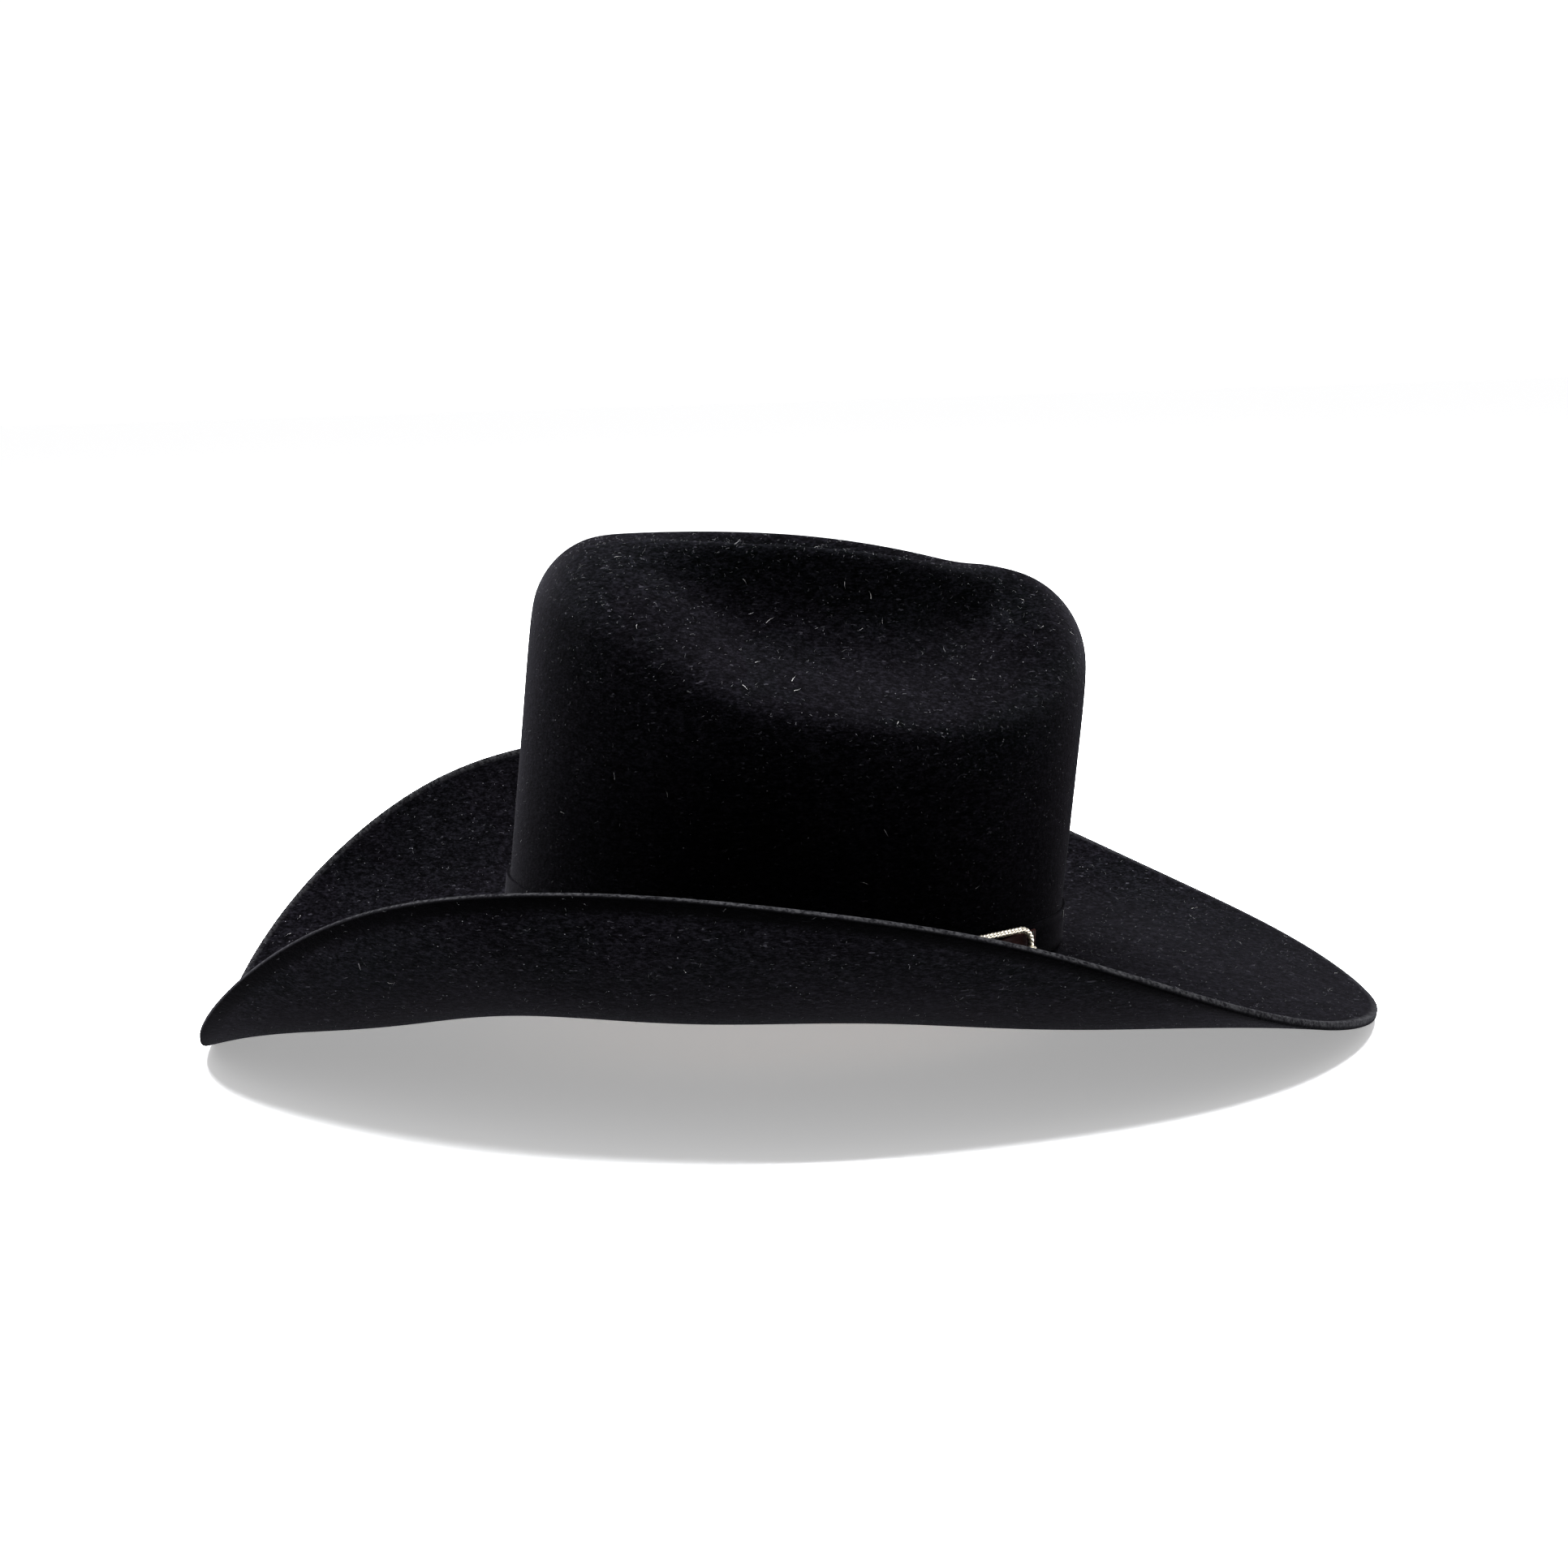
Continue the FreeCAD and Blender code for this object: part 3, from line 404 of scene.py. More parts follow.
def felt(name, tone, nap, lint_and_painted_edge=False):
    """Brushed fur felt: near black and mottled; the extra switch adds hairs and specks, a painted highlight on the
    brim's raw edge and painted shade just under it.
    """
    m = Mat(name, Roughness=0.55, Specular_IOR_Level=0.0, Sheen_Weight=FELT_SHEEN, Sheen_Roughness=0.42)
    m.p.inputs["Sheen Tint"].default_value = (0.90, 0.88, 1.0, 1)
    brushed = m.stretch(0.55, 0.55, 1.25)
    fine, mid = m.noise(1250, 3, 0.7, brushed), m.noise(520, 3, 0.6, brushed)
    wide = m.noise(24, 3, 0.55, dist=0.6)
    dark, light = shades(tone, 0.12, 4.2)
    col = m.ramp(m.blend((fine, 0.58), (mid, 0.32), (wide, 0.10)), [(0.40, dark), (0.5, tone), (0.62, light)])
    if lint_and_painted_edge:
        hairs = m.math("GREATER_THAN", m.noise(560, 2, 0.6, m.stretch(0.5, 0.5, 1.6)), 0.70)
        col = m.mix(m.math("MULTIPLY", hairs, 0.75), col, HAIR_TONE)
        specks = m.math("LESS_THAN", m.cells(400, "F1"), 0.07)
        here = m.math("GREATER_THAN", m.noise(130, 1, 0.5), 0.58)
        col = m.mix(m.math("MULTIPLY", specks, here), col, SPECK_TONE)
        # Painted highlight on the upper half of the brim's raw edge, and painted shade on its lower half and the
        # underside next to it.
        edge_highlight = m.ramp(m.noise(700, 3, 0.7), [(0.38, CUT_HIGHLIGHT_DARK), (0.62, CUT_HIGHLIGHT_PALE)])
        col = m.mix(m.attribute("cut_edge_painted_highlight"), col, edge_highlight)
        col = m.mix(m.attribute("under_edge_painted_shade"), col, SHADE_TONE)
    m.colour(col)
    m.bump(m.blend((m.noise(1500, 3, 0.7, brushed), 0.6), (m.noise(480, 3, 0.6), 0.9)), 0.7 * nap, NAP_DEPTH)
    return m.m


def leather(name, tone, gloss, shine=0.45):
    """Leather with a fine cell grain and a soft change of tone."""
    m = Mat(name, Roughness=gloss, Specular_IOR_Level=shine)
    grain = m.math("MULTIPLY", m.cells(900, "DISTANCE_TO_EDGE"), 2.0, clamp=True)
    dark, light = shades(tone, 0.7, 1.35)
    m.colour(m.ramp(m.noise(60, 4, 0.6), [(0.3, dark), (0.55, tone), (0.75, light)]))
    m.rough(m.math("ADD", m.math("MULTIPLY", m.noise(300, 3), 0.3), gloss - 0.15))
    m.bump(m.math("ADD", grain, m.math("MULTIPLY", m.noise(2500, 2), 0.4)), 0.35, 0.0001)
    return m.m


def satin(name, tone):
    """Satin with fine upright threads."""
    m = Mat(name, Roughness=0.34, Specular_IOR_Level=0.6, Anisotropic=0.55, Sheen_Weight=0.15, Sheen_Roughness=0.3)
    threads = m.noise(2600, 2, 0.5, m.stretch(1, 1, 0.08))
    dark, light = shades(tone, 0.85, 1.08)
    m.colour(m.ramp(m.blend((threads, 0.6), (m.noise(30, 3, 0.5), 0.4)), [(0.3, dark), (0.7, light)]))
    m.bump(threads, 0.25, 0.00008)
    return m.m


def metal(name, tone, rough=0.32, groove=False):
    """Worn cast metal; groove darkens the valleys of the rope pattern."""
    m = Mat(name, Roughness=rough, Metallic=1.0)
    wear = m.noise(500, 4, 0.65)
    dark, light = shades(tone, 0.78, 1.1)
    col = m.ramp(wear, [(0.3, dark), (0.6, tone), (0.8, light)])
    if groove:
        col = m.mix(m.attribute("groove"), col, (0.10, 0.075, 0.05))
    m.colour(col)
    m.rough(m.math("ADD", m.math("MULTIPLY", wear, 0.22), rough - 0.1))
    m.bump(m.math("ADD", m.noise(2500, 3, 0.6), m.math("MULTIPLY", wear, 0.6)), 0.22, 0.00008)
    return m.m


def thread(name, tone):
    """Twisted sewing thread."""
    m = Mat(name, Roughness=0.7, Sheen_Weight=0.2)
    twist = m.noise(3200, 2, 0.6)
    dark, light = shades(tone, 0.6, 1.3)
    m.colour(m.ramp(twist, [(0.35, dark), (0.65, light)]))
    m.bump(twist, 0.5, 0.0001)
    return m.m


def tape(name, tone):
    """Woven tape with ribs."""
    m = Mat(name, Roughness=0.8, Sheen_Weight=0.1)
    ribs = m.node("ShaderNodeTexWave", wave_type="BANDS", bands_direction="Z", Scale=1400, Distortion=1.5)
    m.link(m.co, ribs.inputs["Vector"])
    dark, light = shades(tone, 0.6, 1.6)
    m.colour(m.ramp(m.math("MULTIPLY", ribs.outputs["Fac"], m.noise(1800, 2, 0.6)), [(0.1, dark), (0.6, light)]))
    m.bump(ribs.outputs["Fac"], 0.4, 0.0001)
    return m.m


def speckled(name, scale, detail, stops, **values):
    """A plain material whose tone wanders between two stops."""
    m = Mat(name, **values)
    m.colour(m.ramp(m.noise(scale, detail), stops))
    return m.m


SILVER = (0.60, 0.555, 0.46)
BLACK_FELT = felt("black_felt_look", FELT_TONE, nap=1.0, lint_and_painted_edge=True)
BAND_FELT = felt("band_felt_look", tuple(t * 0.8 for t in FELT_TONE), nap=0.6)
METAL = metal("silver_look", SILVER)
ROPE_METAL = metal("silver_rope_look", SILVER, 0.3, groove=True)
STRAP_LEATHER = leather("strap_leather_look", (0.012, 0.0036, 0.0032), 0.65, shine=0.02)
SWEAT_LEATHER = leather("sweatband_look", (0.16, 0.075, 0.04), 0.42)
TAN_THREAD = thread("tan_thread_look", (0.32, 0.21, 0.12))
BLACK_THREAD = thread("black_thread_look", (0.008, 0.008, 0.009))
TAPE = tape("tape_look", (0.02, 0.02, 0.022))
RIBBON = satin("ribbon_look", (0.02, 0.02, 0.024))
LINING = satin("lining_look", (0.58, 0.55, 0.50))
PIPING = satin("piping_look", (0.03, 0.03, 0.035))
REED = speckled("reed_look", 300, 3, [(0.3, (0.7, 0.69, 0.64)), (0.7, (0.85, 0.84, 0.8))], Roughness=0.45)
FIBRE = speckled("felt_fibre_look", 260, 2, [(0.35, (0.006, 0.006, 0.007)), (0.7, (0.06, 0.06, 0.066))],
                 Roughness=0.8, Sheen_Weight=0.1)
LINT = speckled("lint_look", 120, 1, [(0.3, (0.07, 0.07, 0.075)), (0.7, (0.32, 0.31, 0.30))], Roughness=0.7)


def dress(ob, mat):
    ob.data.materials.clear()
    ob.data.materials.append(mat)


def dress_node(name, mat, bevel=None):
    """A CAD node keeps its shape and place, and gets a look and slightly rounded edges."""
    ob = NODES[name]
    for k in range(len(ob.data.materials)):
        ob.data.materials[k] = mat
    if not ob.data.materials:
        ob.data.materials.append(mat)
    if bevel:
        b = ob.modifiers.new("soft_edges", "BEVEL")
        b.width = bevel * MM
        b.segments = 3
        b.limit_method = "ANGLE"
        b.angle_limit = math.radians(35)
        b.harden_normals = True


# ---- felt: crown and brim in one piece, with a rounded cut edge ----
NU = 320
ROUND_U = np.linspace(0, STATIONS, NU, endpoint=False)
TOP_T = np.concatenate([np.linspace(0, 1.0, 7)[1:], np.linspace(1.0, SPANS, 138)[1:]])
UNDER_T = np.linspace(SPANS, 0, 112)[:-1]
EDGE_ROUND = 0.55
LIP = ((0.0, -0.9), (0.06, -0.35), (0.2, -0.05), (0.5, 0.0), (0.8, -0.05), (0.94, -0.35), (1.0, -0.9))
# The first lip rows carry the painted highlight and the rest the painted shade, each mixed in at the given share.
HIGHLIGHT_LIP_ROWS, PAINTED_EDGE_SHARE = 4, 0.9

top_pts, under_pts = surface(TOP, ROUND_U, TOP_T), surface(UNDER, ROUND_U, UNDER_T)
edge_top, edge_under = top_pts[-1], under_pts[0]
edge_out = top_pts[-1] - top_pts[-2]
edge_out /= np.linalg.norm(edge_out, axis=-1, keepdims=True)
lip = [edge_top * (1 - share) + edge_under * share + edge_out * (back * EDGE_ROUND) for share, back in LIP]
grid = np.concatenate([top_pts[:-1], np.array(lip), under_pts[1:]])
n_rings = len(grid)
poles = [surface(rows, ROUND_U[:1], np.array([0.0]))[0, 0] for rows in (TOP, UNDER)]
faces = grid_faces(n_rings, NU) + fan_faces(n_rings * NU, 0, NU, flip=True)
faces += fan_faces(n_rings * NU + 1, (n_rings - 1) * NU, NU)
felt_ob = new_object("hat_felt", np.concatenate([grid.reshape(-1, 3), poles]), faces)
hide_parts("felt_body")
# Point values that lay the painted highlight on the edge's upper rows and painted shade on its lower rows and the
# first row of the underside.
lip_from = len(top_pts) - 1
for key, first, end in (("cut_edge_painted_highlight", lip_from, lip_from + HIGHLIGHT_LIP_ROWS),
                        ("under_edge_painted_shade", lip_from + HIGHLIGHT_LIP_ROWS, lip_from + len(lip) + 1)):
    share = np.zeros(n_rings * NU + 2)
    share[first * NU:end * NU] = PAINTED_EDGE_SHARE
    point_values(felt_ob, key, share)
dress(felt_ob, BLACK_FELT)

# ---- band: its inner face stands off the felt's curve at the lower edge ----
BAND_LOW, BAND_TOP, BAND_GAP, BAND_T, BAND_EASE = 3.0, 16.5, 0.2, 1.2, 0.42
band_section = []
for h, out in rect_section(BAND_LOW, BAND_TOP, BAND_GAP, BAND_GAP + BAND_T, 0.45, 3, 4):
    inner = (BAND_GAP + BAND_T - out) / BAND_T
    band_section.append((h, out + BAND_EASE * inner * (BAND_TOP - h) / (BAND_TOP - BAND_LOW)))
band = ring_mesh("felt_band", band_section, nu=480)
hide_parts("hat_band")
dress(band, BAND_FELT)

# ---- sweatband, and the tape folded round its reed ----
SWEAT_OUT, SWEAT_T, SWEAT_TOP, SWEAT_RISE = -4.2, 1.0, 55.0, 0.3
REED_R, REED_H, REED_OUT = 1.0, -1.6, -4.7
TAPE_T, TAPE_IN, TAPE_UP, TAPE_STEPS = 0.4, REED_R + 0.08, 3.4, 12


def sweat_wave(phi, h):
    """Slight waves that grow toward the loose upper edge."""
    waves = np.sin(5 * phi + 0.6) + 0.6 * np.sin(9 * phi + 2.0)
    return 0.132 * smooth((h - 12) / 40) * waves - 0.12 * smooth((h - 30) / 25)


sweat_low = REED_H + REED_R + SWEAT_RISE
sweat_section = rect_section(sweat_low, SWEAT_TOP, SWEAT_OUT - SWEAT_T, SWEAT_OUT, 0.4, 3, 14)
sweat = ring_mesh("leather_sweatband", sweat_section, wobble=sweat_wave)
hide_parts("sweatband")
dress(sweat, SWEAT_LEATHER)


def fold(radius):
    """Half a turn under the reed, from the outside in."""
    turns = [math.radians(180 + 180 * k / TAPE_STEPS) for k in range(TAPE_STEPS + 1)]
    return [(REED_H + radius * math.sin(a), REED_OUT - radius * math.cos(a)) for a in turns]


outer, inner = fold(TAPE_IN + TAPE_T), fold(TAPE_IN)
tape_section = [(TAPE_UP, outer[0][1])] + outer + [(TAPE_UP, outer[-1][1])]
tape_section += [(TAPE_UP, inner[-1][1])] + inner[::-1] + [(TAPE_UP, inner[0][1])]
tape_ob = ring_mesh("folded_reed_tape", tape_section)
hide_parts("reed_tape")
dress(tape_ob, TAPE)

# ---- lining: a pleated side strip, the oval tip and the piping where they meet ----
LINING_OUT, LINING_T, LINING_LOW, LINING_SEAM, LINING_TOP = -3.3, 0.4, 40.0, 70.0, 93.0
PIPING_R, PIPING_SIDES = 0.8, 12
PLEATS, PLEAT_DEPTH = 46, 0.9
TIP_LOW = LINING_SEAM + PIPING_R + 0.2
TIP_SHAPE = ((0.0, 0.0), (0.03, 0.22), (0.14, 0.5), (0.34, 0.76), (0.62, 0.95), (0.85, 1.0), (1.0, 1.0))
TIP_NU, TIP_ROWS, GATHER = 276, 40, 0.35


def pleat(phi, h):
    grow = smooth((h - 56) / 8) * (1 - smooth((h - 66) / 4))
    return -PLEAT_DEPTH * grow * (0.5 + 0.5 * np.sin(PLEATS * phi + 0.8 * np.sin(3 * phi))) ** 1.5


side_top = LINING_SEAM - PIPING_R - 0.1
side_section = rect_section(LINING_LOW, side_top, LINING_OUT - LINING_T, LINING_OUT, 0.15, 1, 16)
side = ring_mesh("lining_side_cloth", side_section, nu=552, wobble=pleat)
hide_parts("lining_side")
dress(side, LINING)


def tip_rows():
    """Rings of the tip's upper face, from the piping to the middle."""
    edge = wall_plan(PHI) - [BASE_X, 0.0] + normal_at(PHI, WALL_A, WALL_B) * LINING_OUT
    rise = LINING_TOP - TIP_LOW
    return np.array([crown_point(edge * (1 - share) + [BASE_X, 0.0], PHI, TIP_LOW + rise * f + 0 * PHI)
                     for share, f in TIP_SHAPE])


tip_top = tip_rows()
tip_under = under_rows(tip_top, LINING_T, -2)
tip_under[-1] = tip_under[-1].mean(0)
tip_u = np.linspace(0, STATIONS, TIP_NU, endpoint=False)
tip_t = np.linspace(0, len(tip_top) - 3, TIP_ROWS)
upper, lower = surface(tip_top, tip_u, tip_t), surface(tip_under, tip_u, tip_t[::-1])
folds = np.sin(PLEATS * 2 * math.pi * np.arange(TIP_NU) / TIP_NU + 0.5)
gather = folds[None, :] * (smooth(tip_t) * (1 - smooth((tip_t - 0.8) / 2.2)))[:, None]
upper[..., 2] += GATHER * gather
lower[..., 2] += GATHER * gather[::-1]
tip_grid = np.concatenate([upper[:-1], lower[1:]])
n_tip, half = len(tip_grid), len(upper) - 1
# The rings run in on the upper face and out on the lower one, with a gap at the middle for the two poles.
gap = slice((half - 1) * TIP_NU, half * TIP_NU)
faces = grid_faces(n_tip, TIP_NU, closed_v=True)
del faces[gap]
faces += fan_faces(n_tip * TIP_NU, (half - 1) * TIP_NU, TIP_NU)
faces += fan_faces(n_tip * TIP_NU + 1, half * TIP_NU, TIP_NU, flip=True)
tip_verts = np.concatenate([tip_grid.reshape(-1, 3), [upper[-1].mean(0)], [lower[0].mean(0)]])
tip_ob = new_object("lining_tip_cloth", tip_verts, faces)
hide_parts("lining_tip")
dress(tip_ob, LINING)

piping_out = LINING_OUT - PIPING_R - 0.1
piping_turns = np.linspace(0, 2 * math.pi, PIPING_SIDES, endpoint=False)
piping_section = [(LINING_SEAM + PIPING_R * math.sin(a), piping_out + PIPING_R * math.cos(a)) for a in piping_turns]
piping = ring_mesh("piping_cord", piping_section, nu=480)
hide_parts("lining_piping")
dress(piping, PIPING)

# ---- buckle: placed on the band as in the CAD model ----
# Along the strap, a runs round the crown from the buckle's middle, z runs up the heel bar and o out of the wall.
BUCKLE_AT, BUCKLE_H = math.radians(-44.6), 9.4
STRAP_W, HEEL_A, FRONT_A, HEEL_O, FRONT_O = 10.0, -11.5, 12.5, 3.05, 4.35
ROD_R, HEEL_R, RAIL_Z, CORNER_R = 1.15, 0.7, 6.85, 5.4
ROD_STEP, ROD_END, ARC_PARTS = 0.16, 0.9, 60
BILLET_T, BILLET_LOW, BILLET_HIGH, BILLET_FRONT, BILLET_BACK = 1.0, 1.65, 3.85, 18.0, -42.0
BILLET_STEPS, BILLET_ROUND, SLOT_FROM, SLOT_TO, SLOT_HALF = 121, 0.28, -13.0, -0.8, 1.1


def plan(a, o):
    """The plan point at arc length a from the buckle and distance o out of the wall."""
    phi = BUCKLE_AT
    for _ in range(ARC_PARTS):
        phi += a / ARC_PARTS / math.hypot(WALL_A * math.sin(phi), WALL_B * math.cos(phi))
    n = normal_at(np.array([phi]), WALL_A, WALL_B)[0]
    return np.array([BASE_X + WALL_A * math.cos(phi) + n[0] * o, WALL_B * math.sin(phi) + n[1] * o, 0.0])


def unit(v):
    return v / np.linalg.norm(v)


TANGENT = unit(np.array([-WALL_A * math.sin(BUCKLE_AT), WALL_B * math.cos(BUCKLE_AT), 0.0]))
BAR_UP = unit(UP - TANGENT * UP.dot(TANGENT))
OUTWARD = np.cross(TANGENT, BAR_UP)
BUCKLE_POINT = wall_row(BUCKLE_H, 0.0, np.array([BUCKLE_AT]))[0]
PLAN_OUT = np.append(normal_at(np.array([BUCKLE_AT]), WALL_A, WALL_B)[0], 0.0)
ORIGIN = plan(0, 0)


def local(a, o, z=0.0):
    d = plan(a, o) - ORIGIN
    return np.array([d.dot(PLAN_OUT), d.dot(TANGENT), z])


def place(p):
    return BUCKLE_POINT + p[..., :1] * OUTWARD + p[..., 1:2] * TANGENT + p[..., 2:3] * BAR_UP


HEEL, FRONT = local(HEEL_A, HEEL_O), local(FRONT_A, FRONT_O)
FRAME_LEN = float(np.linalg.norm(FRONT - HEEL))
TILT = math.atan2(FRONT[0] - HEEL[0], FRONT[1] - HEEL[1])


def frame_place(p):
    """From the frame's flat layout, heel bar on its Z axis, to the hat."""
    c, s = math.cos(-TILT), math.sin(-TILT)
    return place(np.stack([p[..., 0] * c - p[..., 1] * s, p[..., 0] * s + p[..., 1] * c, p[..., 2]], -1) + HEEL)


def frame_path():
    """Centre line of the bent rod, from one end of the heel bar round to the other."""
    run = FRAME_LEN - CORNER_R
    low, high = -RAIL_Z + CORNER_R, RAIL_Z - CORNER_R
    turn = np.arange(0, math.pi / 2, ROD_STEP / CORNER_R)
    points = [(-ROD_R * ROD_END, -RAIL_Z)]
    points += [(y, -RAIL_Z) for y in np.arange(0, run, ROD_STEP)]
    points += [(run + CORNER_R * math.sin(t), low - CORNER_R * math.cos(t)) for t in turn]
    points += [(FRAME_LEN, z) for z in np.arange(low, high, ROD_STEP)]
    points += [(run + CORNER_R * math.cos(t), high + CORNER_R * math.sin(t)) for t in turn]
    points += [(y, RAIL_Z) for y in np.arange(run, 0, -ROD_STEP)]
    points += [(0.0, RAIL_Z), (-ROD_R * ROD_END, RAIL_Z)]
    return np.array([(0.0, y, z) for y, z in points])


def rope(name, path, radius, spacing, depth, around, strands=3):
    """A rod with twisted strands cast into its face; groove holds how deep each point lies."""
    d = unit_rows(np.gradient(path, axis=0))
    s = np.concatenate([[0], np.cumsum(np.linalg.norm(np.diff(path, axis=0), axis=1))])
    side_v = np.tile([1.0, 0, 0], (len(path), 1))
    up_v = np.cross(d, side_v)
    th = 2 * math.pi * np.arange(around) / around
    twist = np.abs(np.sin(0.5 * strands * th[None, :] + math.pi * s[:, None] / spacing))
    from_end = np.clip(np.minimum(s, s[-1] - s) / radius, 0, 1)
    rounding = np.sqrt(np.clip(1 - (1 - from_end) ** 2, 0.02, 1))
    r = radius * (1 - depth + depth * twist ** 0.7) * rounding[:, None]
    ring = np.cos(th)[None, :, None] * side_v[:, None] + np.sin(th)[None, :, None] * up_v[:, None]
    verts = np.concatenate([(path[:, None] + r[..., None] * ring).reshape(-1, 3), path[:1], path[-1:]])
    n = len(path)
    faces = grid_faces(n, around) + fan_faces(n * around, 0, around, flip=True)
    faces += fan_faces(n * around + 1, (n - 1) * around, around)
    ob = new_object(name, frame_place(verts), faces, "buckle")
    point_values(ob, "groove", np.concatenate([np.clip(1 - twist / 0.55, 0, 1).ravel() * 0.85, [0, 0]]))
    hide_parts("buckle_frame")
    return ob


HEEL_PATH = np.array([(0.0, 0.0, z) for z in np.linspace(-RAIL_Z, RAIL_Z, 60)])
dress(rope("rope_edge_buckle", frame_path(), ROD_R, 1.7, 0.2, 28), ROPE_METAL)
dress(rope("buckle_heel_bar", HEEL_PATH, HEEL_R, 50.0, 0.0, 16), METAL)


# ---- the strap's loose end, which climbs over the heel bar and passes under the front bar ----
def billet_inner(a):
    rise = smooth((6.0 - a) / 15.0)
    over = 0.65 * math.exp(-((a - HEEL_A) / 3.2) ** 2)
    drop = smooth((-a - 28.0) / 8.0)
    return BILLET_LOW + 0.5 * drop + (BILLET_HIGH - BILLET_LOW) * rise * (1 - drop) + over


def strap_mesh(name):
    """A leather strap with rounded edges and an open slot for the prong."""
    a_list = np.linspace(BILLET_FRONT, BILLET_BACK, BILLET_STEPS)
    zs = np.linspace(-STRAP_W / 2, STRAP_W / 2, 21)
    na, nz, r = len(a_list), len(zs), BILLET_ROUND
    verts, faces = [], []
    for a in a_list:
        for z in zs:
            edge = STRAP_W / 2 - abs(z)
            ins = r * (1 - math.sqrt(max(0.0, 1 - (1 - edge / r) ** 2))) if edge < r else 0.0
            verts += [local(a, billet_inner(a) + ins, z), local(a, billet_inner(a) + BILLET_T - ins, z)]

    def index(i, j, outer_face):
        return (i * nz + j) * 2 + outer_face

    def solid(i, j):
        if not (0 <= i < na - 1 and 0 <= j < nz - 1):
            return False
        a, z = (a_list[i] + a_list[i + 1]) / 2, (zs[j] + zs[j + 1]) / 2
        return not (SLOT_FROM < a < SLOT_TO and abs(z) < SLOT_HALF)

    for i in range(na - 1):
        for j in range(nz - 1):
            if not solid(i, j):
                continue
            q = [(i, j), (i + 1, j), (i + 1, j + 1), (i, j + 1)]
            faces.append([index(*c, 1) for c in q])
            faces.append([index(*c, 0) for c in q[::-1]])
            for k, beside in enumerate(((i, j - 1), (i + 1, j), (i, j + 1), (i - 1, j))):
                if not solid(*beside):
                    c0, c1 = q[k], q[(k + 1) % 4]
                    faces.append([index(*c0, 0), index(*c1, 0), index(*c1, 1), index(*c0, 1)])
    return new_object(name, place(np.array(verts)), faces)


billet = strap_mesh("leather_billet")
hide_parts("strap_billet")
dress(billet, STRAP_LEATHER)

for node_name, look, bevel in (
        ("buckle_tab", STRAP_LEATHER, 0.12), ("buckle_prong", METAL, None), ("keeper_loop", METAL, 0.2),
        ("strap_tip", METAL, 0.15), ("tip_rivets", METAL, 0.12), ("strap_stitches", BLACK_THREAD, None),
        ("band_tacks", BLACK_THREAD, None), ("sweatband_reed", REED, None), ("sweatband_stitches", TAN_THREAD, None),
        ("seam_backing", SWEAT_LEATHER, 0.2), ("bow_knot", RIBBON, None), ("bow_loops", RIBBON, 0.1)):
    dress_node(node_name, look, bevel)

# ---- stray fibres that stand off the felt ----
NEAR = 0.02


def felt_points(rows, u, t):
    """Points of one face of the felt, with small steps round the ring and toward the crown's top."""
    def at(t_, u_):
        return np.einsum("nj,jik,ni->nk", open_basis(N_ROWS, t_), through(rows), closed_basis(STATIONS, u_))
    p = at(t, u)
    return p, at(t, u + NEAR) - p, at(np.maximum(t - NEAR, 0), u) - p


def out_sign(rows, other):
    """1 where the steps' cross product points out of the felt on this face, else -1."""
    u, t = np.array([5.3]), np.array([SPANS - 3.0])
    (p,), (ring,), (climb,) = felt_points(rows, u, t)
    (across,), _, _ = felt_points(other, u, t)
    return 1.0 if np.cross(ring, climb).dot(p - across) > 0 else -1.0


def fibre_piece(name, mat, count, length, width, lift, seed, curl):
    """Curved hairs scattered over both faces of the felt, each a tapering strip of two faces."""
    g = np.random.default_rng(seed)
    u = g.uniform(0, STATIONS, count)
    t = g.uniform(0.0, SPANS, count)
    on_top = g.random(count) < 0.5
    verts, faces = [], []
    for rows, other, mask in ((TOP, UNDER, on_top), (UNDER, TOP, ~on_top)):
        p, ring, climb = felt_points(rows, u[mask], t[mask])
        n, around = unit_rows(np.cross(ring, climb)), unit_rows(ring)
        angle = g.uniform(0, 2 * math.pi, len(p))[:, None]
        way = around * np.cos(angle) + np.cross(n, around) * np.sin(angle)
        away = out_sign(rows, other) * n
        size, rise, turn = (g.uniform(low, high, len(p))[:, None] for low, high in (length, lift, (-curl, curl)))
        cross = np.cross(away, way)
        root = p - away * 0.05
        middle = root + way * size * 0.5 + away * size * rise * 0.6 + cross * size * turn * 0.2
        tip = root + way * size + away * size * rise + cross * size * turn * 0.7
        w = cross * width
        first = sum(len(v) for v in verts)
        verts.append(np.stack([root - w, root + w, middle - w * 0.7, middle + w * 0.7, tip], 1).reshape(-1, 3))
        for b in range(first, first + 5 * len(p), 5):
            faces += [(b, b + 1, b + 3, b + 2), (b + 2, b + 3, b + 4)]
    ob = linked_object(name, mesh_from(name, np.concatenate(verts), faces))
    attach(ob, "hat")
    dress(ob, mat)


fibre_piece("felt_nap_fibres", FIBRE, count=16000, length=(0.6, 1.6), width=0.03, lift=(0.05, 0.5), seed=3, curl=0.6)
fibre_piece("stray_lint", LINT, count=420, length=(1.2, 4.0), width=0.045, lift=(0.0, 0.3), seed=11, curl=1.6)

# ---- floor, light and camera, in metres ----
FLOOR_HALF = 12.0
CORNERS = [(-1, -1), (1, -1), (1, 1), (-1, 1)]
floor_me = bpy.data.meshes.new("floor")
floor_me.from_pydata([(x * FLOOR_HALF, y * FLOOR_HALF, 0) for x, y in CORNERS], [], [(0, 1, 2, 3)])
linked_object("floor", floor_me)
FLOOR = Mat("floor_look", Roughness=0.9, Specular_IOR_Level=0.1, Emission_Strength=0.36)
FLOOR.p.inputs["Base Color"].default_value = (0.93, 0.93, 0.935, 1)
FLOOR.p.inputs["Emission Color"].default_value = (1, 1, 1, 1)
floor_me.materials.append(FLOOR.m)

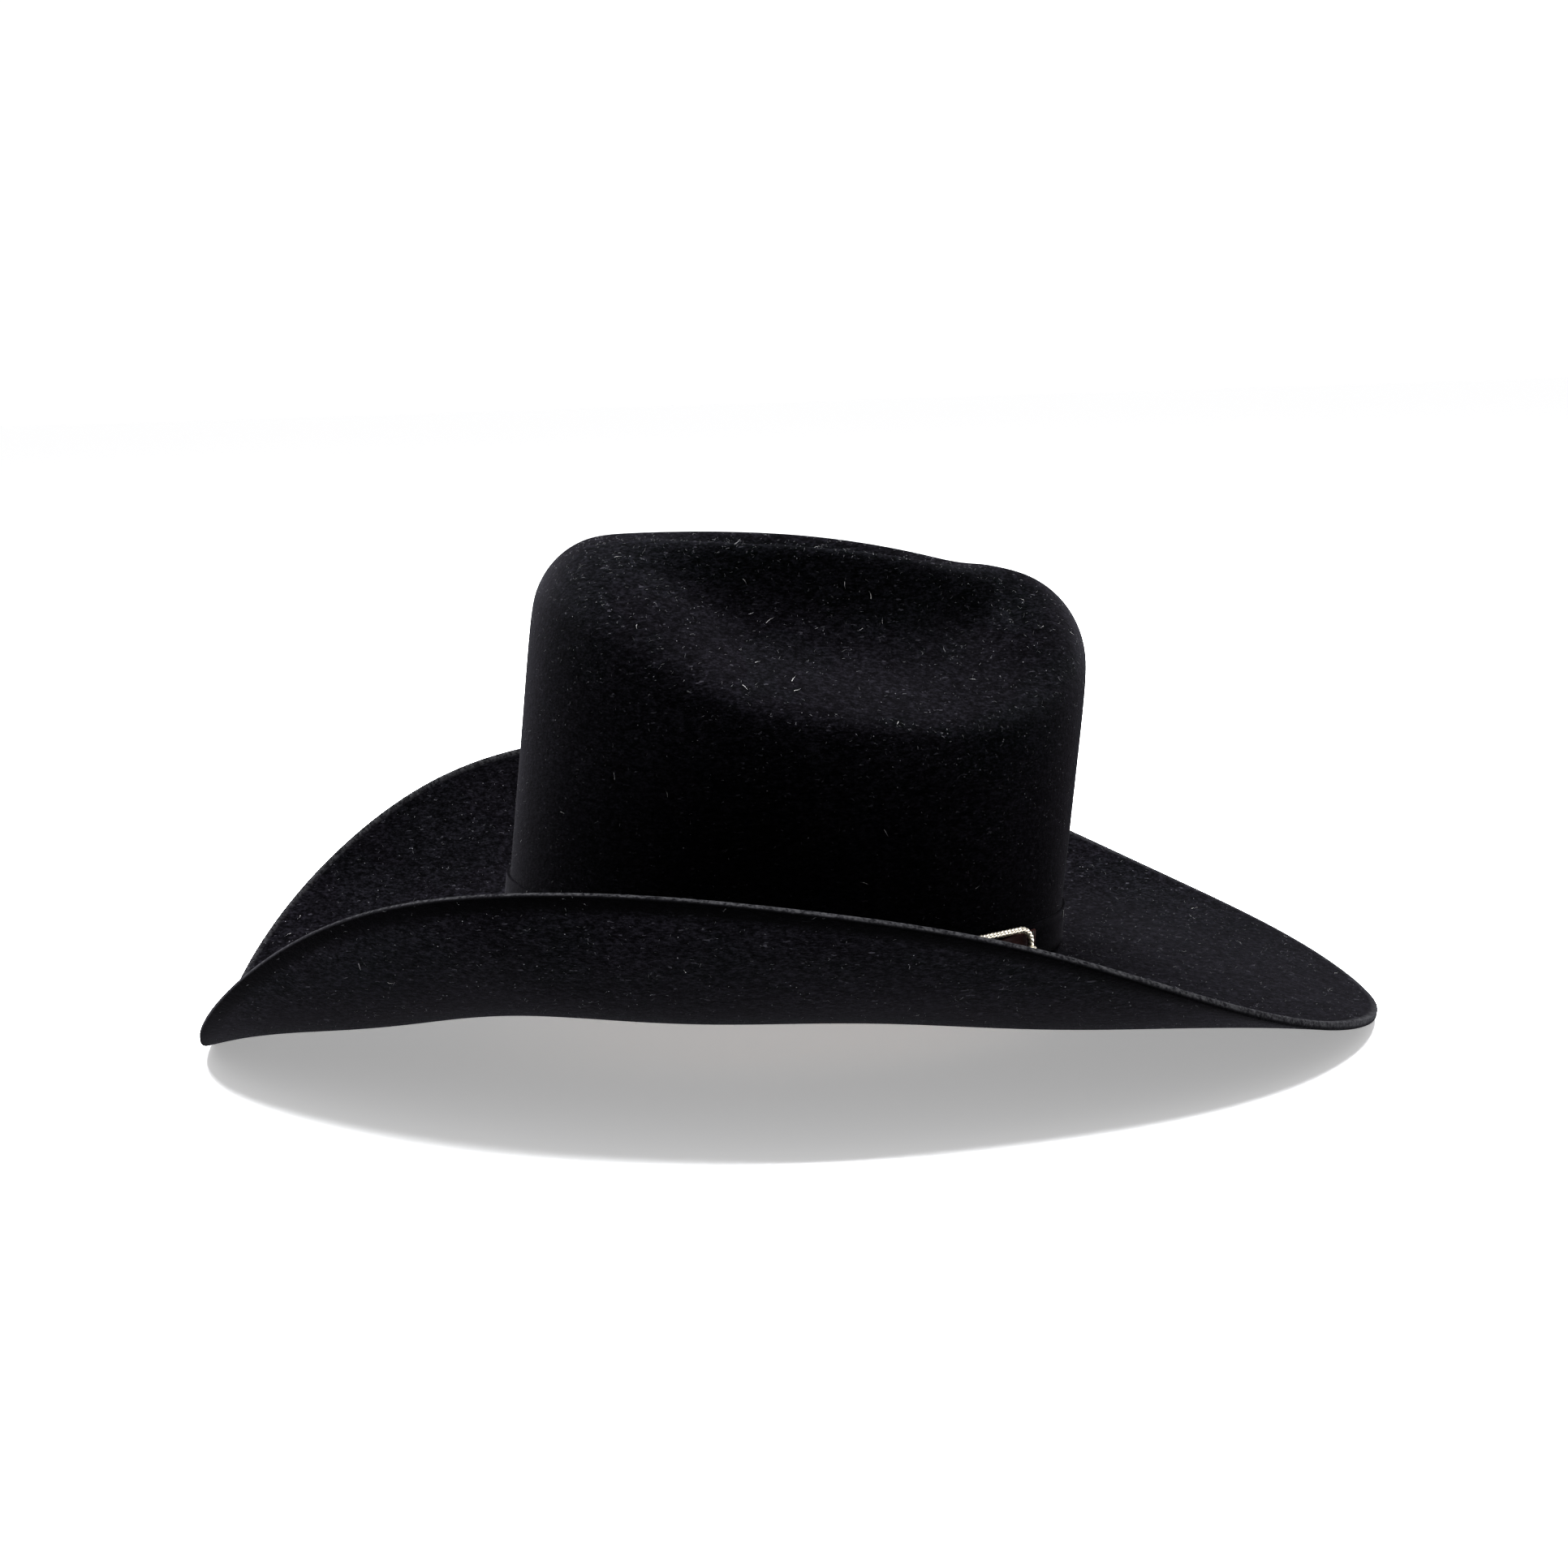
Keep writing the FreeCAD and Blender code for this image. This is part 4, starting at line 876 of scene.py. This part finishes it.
# The studio's walls are bright behind the hat and dimmer on the side of its buckle.
WASH = {"From Min": -0.35, "From Max": 0.35, "To Min": 0.27, "To Max": 1.06}
world = bpy.data.worlds.new("studio")
bpy.context.scene.world = world
world.use_nodes = True
tree = world.node_tree
bg = tree.nodes["Background"]
bg.inputs["Color"].default_value = (1, 1, 1, 1)
turn = tree.nodes.new("ShaderNodeTexCoord")
split = tree.nodes.new("ShaderNodeSeparateXYZ")
wash = tree.nodes.new("ShaderNodeMapRange")
wash.interpolation_type = "SMOOTHSTEP"
for key, value in WASH.items():
    wash.inputs[key].default_value = value
tree.links.new(turn.outputs["Generated"], split.inputs[0])
tree.links.new(split.outputs["Y"], wash.inputs["Value"])
tree.links.new(wash.outputs[0], bg.inputs["Strength"])

LIGHT_AT, LIGHT_TO = Vector((0.0, 0.27, 1.6)), Vector((0.0, 0.0, 0.08))
light = bpy.data.lights.new("top_softbox", "AREA")
light.shape = "RECTANGLE"
light.size, light.size_y = 1.3, 0.9
light.energy = 290
light.color = (0.97, 0.98, 1.0)
light_ob = linked_object("top_softbox", light)
light_ob.location = LIGHT_AT
light_ob.rotation_euler = (LIGHT_TO - LIGHT_AT).to_track_quat("-Z", "Y").to_euler()

VIEW_AZ, VIEW_EL, VIEW_ROLL = math.radians(-1.655), math.radians(10.137), math.radians(1.7643)
VIEW_DIST, VIEW_AT = 1.0244, Vector((0, 0, 0.06))
cam_data = bpy.data.cameras.new("camera")
cam_data.sensor_width = 36.0
cam_data.lens = 64.99
cam_data.shift_x, cam_data.shift_y = -0.0021, 0.0448
cam = linked_object("camera", cam_data)
back = Vector((math.sin(VIEW_AZ) * math.cos(VIEW_EL), -math.cos(VIEW_AZ) * math.cos(VIEW_EL), math.sin(VIEW_EL)))
right = Vector((math.cos(VIEW_AZ), math.sin(VIEW_AZ), 0))
up = back.cross(right)
rolled_right = right * math.cos(VIEW_ROLL) - up * math.sin(VIEW_ROLL)
rolled_up = right * math.sin(VIEW_ROLL) + up * math.cos(VIEW_ROLL)
turned = Matrix((rolled_right, rolled_up, back)).transposed().to_4x4()
cam.matrix_world = Matrix.Translation(VIEW_AT + back * VIEW_DIST) @ turned
scene = bpy.context.scene
scene.camera = cam
scene.view_settings.view_transform = "Standard"
scene.view_settings.look = "None"
